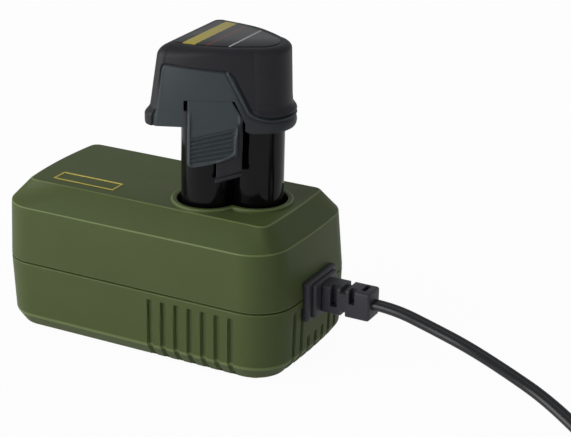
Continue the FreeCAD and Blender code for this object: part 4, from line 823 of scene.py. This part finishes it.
class Surface(Shader):
    # A material of its own. Its place is in millimetres.
    def __init__(self, name):
        self.material = bpy.data.materials.new(name)
        super().__init__(self.material)
        self.surface = self.tree.nodes["Principled BSDF"]
        inputs = {0: self.node("ShaderNodeTexCoord", "Object"), "Scale": 1000.0}
        self.place = self.node("ShaderNodeVectorMath", 0, inputs, operation="SCALE")
        self.x, self.y = [self.node("ShaderNodeSeparateXYZ", axis, {0: self.place}) for axis in "XY"]

    def noise(self, scale, detail=2.0, stretch=None, roughness=0.5):
        # Cloudy noise from 0 to 1, in waves per millimetre, finer along the stretched axes.
        place = self.place
        if stretch:
            place = self.node("ShaderNodeVectorMath", 0, {0: place, 1: stretch}, operation="MULTIPLY")
        inputs = {"Vector": place, "Scale": scale, "Detail": detail, "Roughness": roughness}
        return self.node("ShaderNodeTexNoise", "Fac", inputs)

    def mix(self, factor, a, b):
        # Colour a turning to colour b as factor goes from 0 to 1.
        inputs = {0: factor, 6: self.colour(a), 7: self.colour(b)}
        return self.node("ShaderNodeMix", 2, inputs, data_type="RGBA")

    def tint(self, factor, colour, low, high):
        # A colour that goes from its darker to its lighter tone with factor.
        return self.mix(factor, scaled(colour, low), scaled(colour, high))

    @staticmethod
    def colour(value):
        return value if isinstance(value, Value) else (*value, 1.0)

    def set(self, **inputs):
        # Feeds the surface's sockets by their short names.
        names = dict(color="Base Color", roughness="Roughness", metallic="Metallic", ior="IOR", normal="Normal",
                     glass="Transmission Weight", gloss="Specular IOR Level")
        for key, value in inputs.items():
            self.feed(self.surface.inputs[names[key]], self.colour(value) if key == "color" else value)
        return self

    def bump(self, height, distance, strength=1.0):
        # Height in the range 0 to 1 stands for a distance in millimetres.
        inputs = {"Height": height, "Distance": distance * mm, "Strength": strength}
        return self.set(normal=self.node("ShaderNodeBump", 0, inputs))


def srgb(text):
    # Screen colour to linear light: c / 12.92 near black, else ((c + 0.055) / 1.055) ** 2.4.
    parts = [int(text[i:i + 2], 16) / 255 for i in (0, 2, 4)]
    return tuple(p / 12.92 if p <= 0.04045 else ((p + 0.055) / 1.055) ** 2.4 for p in parts)


def scaled(colour, factor):
    # A colour made lighter or darker.
    return tuple(min(c * factor, 1.0) for c in colour)


def moulded(name, text, rough, grain=2.4, depth=0.02, spread=0.12, gloss=0.35):
    # Moulded plastic: a fine grain, slow cloudiness in the colour and uneven gloss.
    shader, colour = Surface(name), srgb(text)
    cloud = shader.noise(0.06, 3.0)
    fine = shader.noise(grain, 2.0)
    tone = cloud * 0.6 + fine * 0.4
    shader.set(color=shader.tint(tone, colour, 1 - spread, 1 + spread),
               roughness=fine * 0.12 + (rough - 0.06), gloss=gloss)
    return shader.bump(fine, depth).material


def brushed(name, text, rough, stretch=(1, 1, 14)):
    # Metal with fine lines along one direction and dull patches.
    shader, colour = Surface(name), srgb(text)
    lines = shader.noise(1.6, 4.0, stretch, 0.6)
    patches = shader.noise(0.35, 3.0)
    shader.set(color=shader.tint(patches, colour, 0.8, 1.12),
               roughness=lines * 0.16 + patches * 0.1 + (rough - 0.1), metallic=1.0)
    return shader.bump(lines, 0.008).material


# The second olive is a painted highlight, laid along the case's creases.
shades = {name: srgb(text) for name, text in dict(
    shell="4F5B35", paintedHighlight="7C8C5A", cap="26262B", tab="40474A", cord="18191D", label="25262A",
    yellow="C2B245", red="6E2A28", white="B9BDB8", badge="202B1A").items()}


def shellFinish():
    # Spark-eroded olive plastic: a fine pebble, with a painted highlight, a little lighter colour along the
    # creases.
    shader = Surface("shellPlastic")
    pebble = shader.node("ShaderNodeTexVoronoi", "Distance", {"Vector": shader.place, "Scale": 1.6},
                         feature="SMOOTH_F1")
    fine = shader.noise(3.2, 3.0)
    cloud = shader.noise(0.035, 3.0)
    height = pebble * 0.6 + fine * 0.5
    tone = cloud * 0.55 + height * 0.45
    # Painted highlight: the lighter olive along the creases that the edge attribute marks.
    edgeHighlight = shader.node("ShaderNodeAttribute", "Fac", attribute_name="edge") * (0.45 + fine * 0.5)
    plain = shader.tint(tone, shades["shell"], 0.86, 1.14)
    shader.set(color=shader.mix(edgeHighlight, plain, shades["paintedHighlight"]),
               roughness=cloud * 0.14 + fine * 0.1 - edgeHighlight * 0.1 + 0.34, gloss=0.2)
    return shader.bump(height, 0.035, 0.8).material


def capFinish():
    # Satin charcoal. The skirt's panels are a shade lighter than the dome. The same attribute carries painted
    # shade towards the apex and right of the tab's ridge, and a painted highlight on the bead and the ridge.
    shader = Surface("capPlastic")
    panel = shader.node("ShaderNodeAttribute", "Fac", attribute_name="panel")
    cloud, fine = shader.noise(0.06, 3.0), shader.noise(2.6, 2.0)
    tone = cloud * 0.5 + fine * 0.5
    dome = shader.tint(tone, shades["cap"], 0.86, 1.16)
    side = shader.tint(tone, shades["tab"], 0.88, 1.14)
    shader.set(color=shader.mix(panel, dome, side), roughness=fine * 0.12 + (0.4 - panel * 0.02),
               gloss=0.3)
    return shader.bump(fine, 0.03).material


# Each line's place along X from the battery's axis, its width, half its length and its shade.
filmLines = ((-10.2, 5.2, 18.6, "yellow"), (-3.0, 1.0, 17.0, "red"), (5.1, 0.9, 15.2, "white"))


def labelFinish():
    # A glossy film with three plain coloured lines across it.
    shader = Surface("labelFilm")
    along = shader.x - socket["x"]
    away = abs(shader.y)
    grain = shader.noise(1.2, 2.0)
    colour = shader.tint(grain, shades["label"], 0.9, 1.1)
    for centre, width, halfLength, shade in filmLines:
        line = (abs(along - centre) < width / 2) * (away < halfLength)
        colour = shader.mix(line, colour, shades[shade])
    shader.set(color=colour, roughness=grain * 0.06 + 0.22, gloss=0.35)
    return shader.bump(grain, 0.012).material


def badgeFinish():
    # A dark green plate with a raised yellow frame line round its bare field.
    shader = Surface("badgePlate")
    across, up = abs(shader.x - badge["x"]), abs(shader.y - badge["y"])
    frameLine, outside = [((across > x) + (up > y)) > 0.5 for x, y in (badge["lineIn"], badge["lineOut"])]
    grain = shader.noise(1.0, 3.0)
    field = shader.tint(grain, shades["badge"], 0.85, 1.15)
    shader.set(color=shader.mix(frameLine * (1 - outside), field, scaled(shades["yellow"], 1.1)),
               roughness=grain * 0.1 + 0.26)
    return shader.bump(grain, 0.01).material


def boardFinish():
    # Green laminate with paler copper tracks under the mask.
    shader = Surface("boardLaminate")
    inputs = {"Vector": shader.place, "Scale": 0.16, "Mortar Size": 0.03, "Brick Width": 0.9,
              "Row Height": 0.32}
    tracks = shader.node("ShaderNodeTexBrick", "Fac", inputs)
    weave = shader.noise(2.0, 2.0)
    shader.set(color=shader.mix(tracks, scaled(srgb("2B5C35"), 0.9), srgb("4E8A4C")),
               roughness=weave * 0.1 + 0.3)
    return shader.bump(tracks + weave * 0.2, 0.03).material


def windingFinish():
    # Wrapped tape over wire: fine turns one above the other.
    shader = Surface("windingTape")
    inputs = {"Vector": shader.place, "Scale": 0.35, "Distortion": 0.4}
    turns = shader.node("ShaderNodeTexWave", "Fac", inputs, bands_direction="Z")
    shader.set(color=shader.mix(turns, srgb("A8873A"), srgb("CDB35C")), roughness=turns * 0.15 + 0.3)
    return shader.bump(turns, 0.06).material


def glassFinish():
    # Clear glass with faint smears.
    shader = Surface("fuseGlass")
    smear = shader.noise(0.8, 2.0)
    shader.set(color=srgb("DDE3DE"), roughness=smear * 0.08 + 0.03, glass=0.85, ior=1.5)
    return shader.material


def cordFinish():
    # Soft black vinyl: satin, with faint drag marks.
    shader = Surface("cordSheath")
    marks = shader.noise(0.9, 4.0)
    fine = shader.noise(3.5, 2.0)
    shader.set(color=shader.tint(marks, shades["cord"], 0.8, 1.35),
               roughness=marks * 0.14 + fine * 0.06 + 0.2, gloss=0.6)
    return shader.bump(fine * 0.6 + marks * 0.4, 0.02).material


# Stage

view = dict(azimuth=30.285, elevation=22.499, distance=756.19, target=(0.48, 0.0, 33.5), focal=1853.4,
            width=571, height=437, centreX=176.981, centreY=249.723)


def makeCamera():
    # Placed from the photograph's own perspective. The image is measured in pixels.
    a, e = math.radians(view["azimuth"]), math.radians(view["elevation"])
    back = Vector((math.sin(a) * math.cos(e), -math.cos(a) * math.cos(e), math.sin(e)))
    data = bpy.data.cameras.new("camera")
    data.sensor_width = 36.0
    data.lens = view["focal"] / view["width"] * data.sensor_width
    data.shift_x = (view["width"] / 2 - view["centreX"]) / view["width"]
    data.shift_y = (view["centreY"] - view["height"] / 2) / view["width"]
    data.clip_start, data.clip_end = 0.01, 20.0
    camera = addObject("camera", data)
    camera.location = Vector(view["target"]) * mm + back * view["distance"] * mm
    camera.rotation_euler = (-back).to_track_quat("-Z", "Y").to_euler()
    bpy.context.scene.camera = camera


def makeLight(name, direction, width, watts, colour=(1, 1, 1), mirrored=True):
    # A square light 1.2 m from the charger's middle in a direction, facing it.
    data = bpy.data.lights.new(name, "AREA")
    data.size, data.energy, data.color = width, watts, colour
    light = addObject(name, data)
    direction = Vector(direction).normalized()
    light.location = Vector((0, 0, 0.06)) + direction * 1.2
    light.rotation_euler = (-direction).to_track_quat("-Z", "Y").to_euler()
    light.visible_glossy = mirrored


def paleStage(owner, base, output, seenShare, reflectedShare):
    # White to the camera, partly white in mirrors and through glass, and lit as it is elsewhere.
    tree = Shader(owner)
    camera, glossy, through = [tree.node("ShaderNodeLightPath", "Is %s Ray" % kind)
                               for kind in ("Camera", "Glossy", "Transmission")]
    bounced = tree.node("ShaderNodeMath", 0, {0: glossy, 1: through}, operation="MAXIMUM") * reflectedShare
    white = tree.node("ShaderNodeMath", 0, {0: camera * seenShare, 1: bounced}, operation="MAXIMUM")
    base = tree.tree.nodes[base]
    inputs = {0: white, 1: Value(tree, base.outputs[0]), 2: tree.node("ShaderNodeEmission")}
    tree.feed(tree.tree.nodes[output].inputs["Surface"], tree.node("ShaderNodeMixShader", 0, inputs))
    return base.inputs


def makeStage():
    scene = bpy.context.scene
    scene.view_settings.view_transform = "Standard"
    # A wide floor just under the bench's level, in metres.
    reach, level = 6, -0.0002
    corners = [(-reach, -reach, level), (reach, -reach, level), (reach, reach, level), (-reach, reach, level)]
    mesh = bpy.data.meshes.new("floor")
    mesh.from_pydata(corners, [], [(0, 1, 2, 3)])
    floor = addObject("floor", mesh)
    material = bpy.data.materials.new("paleFloor")
    surface = paleStage(material, "Principled BSDF", "Material Output", 0.96, 0.3)
    surface["Base Color"].default_value = (0.9, 0.9, 0.9, 1)
    surface["Roughness"].default_value = 0.8
    surface["Specular IOR Level"].default_value = 0.1
    mesh.materials.append(material)
    scene.world = bpy.data.worlds.new("studio")
    sky = paleStage(scene.world, "Background", "World Output", 1.0, 0.18)
    sky["Color"].default_value = (0.95, 0.97, 1.0, 1)
    sky["Strength"].default_value = 0.21
    makeLight("key", (-0.66, -0.8, 0.3), 1.5, 18.5, (1.0, 0.99, 0.965))
    makeLight("edge", (0.95, -0.32, 0.35), 0.12, 0.5)
    makeLight("behind", (0.1, 1.0, 0.2), 1.2, 6.0, mirrored=False)


# Pieces together

def dress(piece, slotName, body, material, *hidden):
    # Gives a piece its material and, when there is one, its body, and hides the CAD nodes it stands for. Its
    # slot name is not used.
    piece.data.materials.clear()
    piece.data.materials.append(material)
    if body:
        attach(piece, body)
    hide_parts(*hidden)
    return piece


def dressNode(name, material):
    # Gives a CAD node that stays its material.
    thing = nodes[name]
    if not thing.data.materials:
        thing.data.materials.append(material)
    for place in thing.material_slots:
        place.material = material


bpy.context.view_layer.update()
report("frame loaded")
makeCamera()
makeStage()
finish = dict(shell=shellFinish(), cap=capFinish(), cord=cordFinish(), label=labelFinish(),
              badge=badgeFinish(), board=boardFinish(), winding=windingFinish(), glass=glassFinish())
plastics = dict(
    stalk=("stalkPlastic", "09080B", 0.12, 0.25, 0.006, 0.08, 0.22),
    relief=("cordRubber", "3C3C42", 0.42, 2.2, 0.03),
    black=("blackPlastic", "1A1A1C", 0.45), ferrite=("ferrite", "2B2A2A", 0.7, 1.0, 0.06),
    sleeve=("capacitorSleeve", "203152", 0.25, 0.8, 0.01), terminal=("terminalPlastic", "3A6B40", 0.4),
    leads=("leadSleeve", "6A4A2A", 0.4, 1.5, 0.01), tie=("tiePlastic", "2A2A2C", 0.6, 1.2, 0.05),
    plug=("plugPlastic", "1D1D21", 0.38, 2.2, 0.03), cell=("cellSleeve", "2A5C8A", 0.25, 0.6, 0.01))
metals = dict(
    steel=("screwSteel", "A9ACB0", 0.34), brass=("contactBrass", "C8A44A", 0.28),
    pin=("pinBrass", "C7C9CB", 0.22, (14, 1, 1)), nickel=("nickelStrip", "B9B8B0", 0.3),
    sink=("heatSinkMetal", "A9ACAF", 0.4, (1, 14, 1)))
finish.update((key, moulded(*made)) for key, made in plastics.items())
finish.update((key, brushed(*made)) for key, made in metals.items())
# The finish that each CAD node wears. Those not named here are black.
wear = dict(
    steel="well_screws case_screws board_screws bobbin_pins pack_screws", winding="transformer_winding",
    brass="charging_contacts battery_terminals", leads="contact_leads mains_leads", sink="heat_sink",
    board="circuit_board protection_board", ferrite="transformer_core line_choke",
    sleeve="input_capacitor output_capacitors",
    glass="mains_fuse", terminal="mains_terminal", badge="name_badge", tie="cord_tie", plug="plug_body",
    pin="plug_pins", stalk="stalk_case", cell="cell_apex cell_rear cell_front", nickel="nickel_strips",
    label="battery_label")
finishOf = {nodeName: key for key, names in wear.items() for nodeName in names.split()}
for nodeName in nodes:
    dressNode(nodeName, finish[finishOf.get(nodeName, "black")])
report("frame dressed")
dress(makeUpperShell(), "case_plastic", "charger", finish["shell"], "upper_shell")
dress(makeLowerShell(), "case_plastic", "charger", finish["shell"], "lower_shell")
dress(makeBadge(), "badge_plate", "charger", finish["badge"], "name_badge")
report("case")
dress(makeCap(), "cap_plastic", "battery", finish["cap"], "battery_cap", "battery_skirt")
dress(makeLabel(), "label_film", "battery", finish["label"], "battery_label")
for back, body, hidden in ((False, "front_latch_tab", "front_latch"), (True, "rear_latch_tab", "rear_latch")):
    springTab = dress(makeTab(back), "latch_plastic", None, finish["cap"], hidden)
    root = flankPoint(tab["rootAlong"], tab["top"], tab["rootDepth"], back) * mm
    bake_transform(springTab)
report("battery")
dress(makeRelief(), "cord_rubber", "charger", finish["relief"], "strain_relief")
mainsLead, leadLine = makeLead()
dress(mainsLead, "cord_sheath", "charger", finish["cord"], "mains_cord", "cord_coil", "cord_tail")
leadLength = float(np.linalg.norm(np.diff(leadLine, axis=0), axis=1).sum())
report("lead %.0f mm" % leadLength)
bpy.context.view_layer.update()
report("handing over")
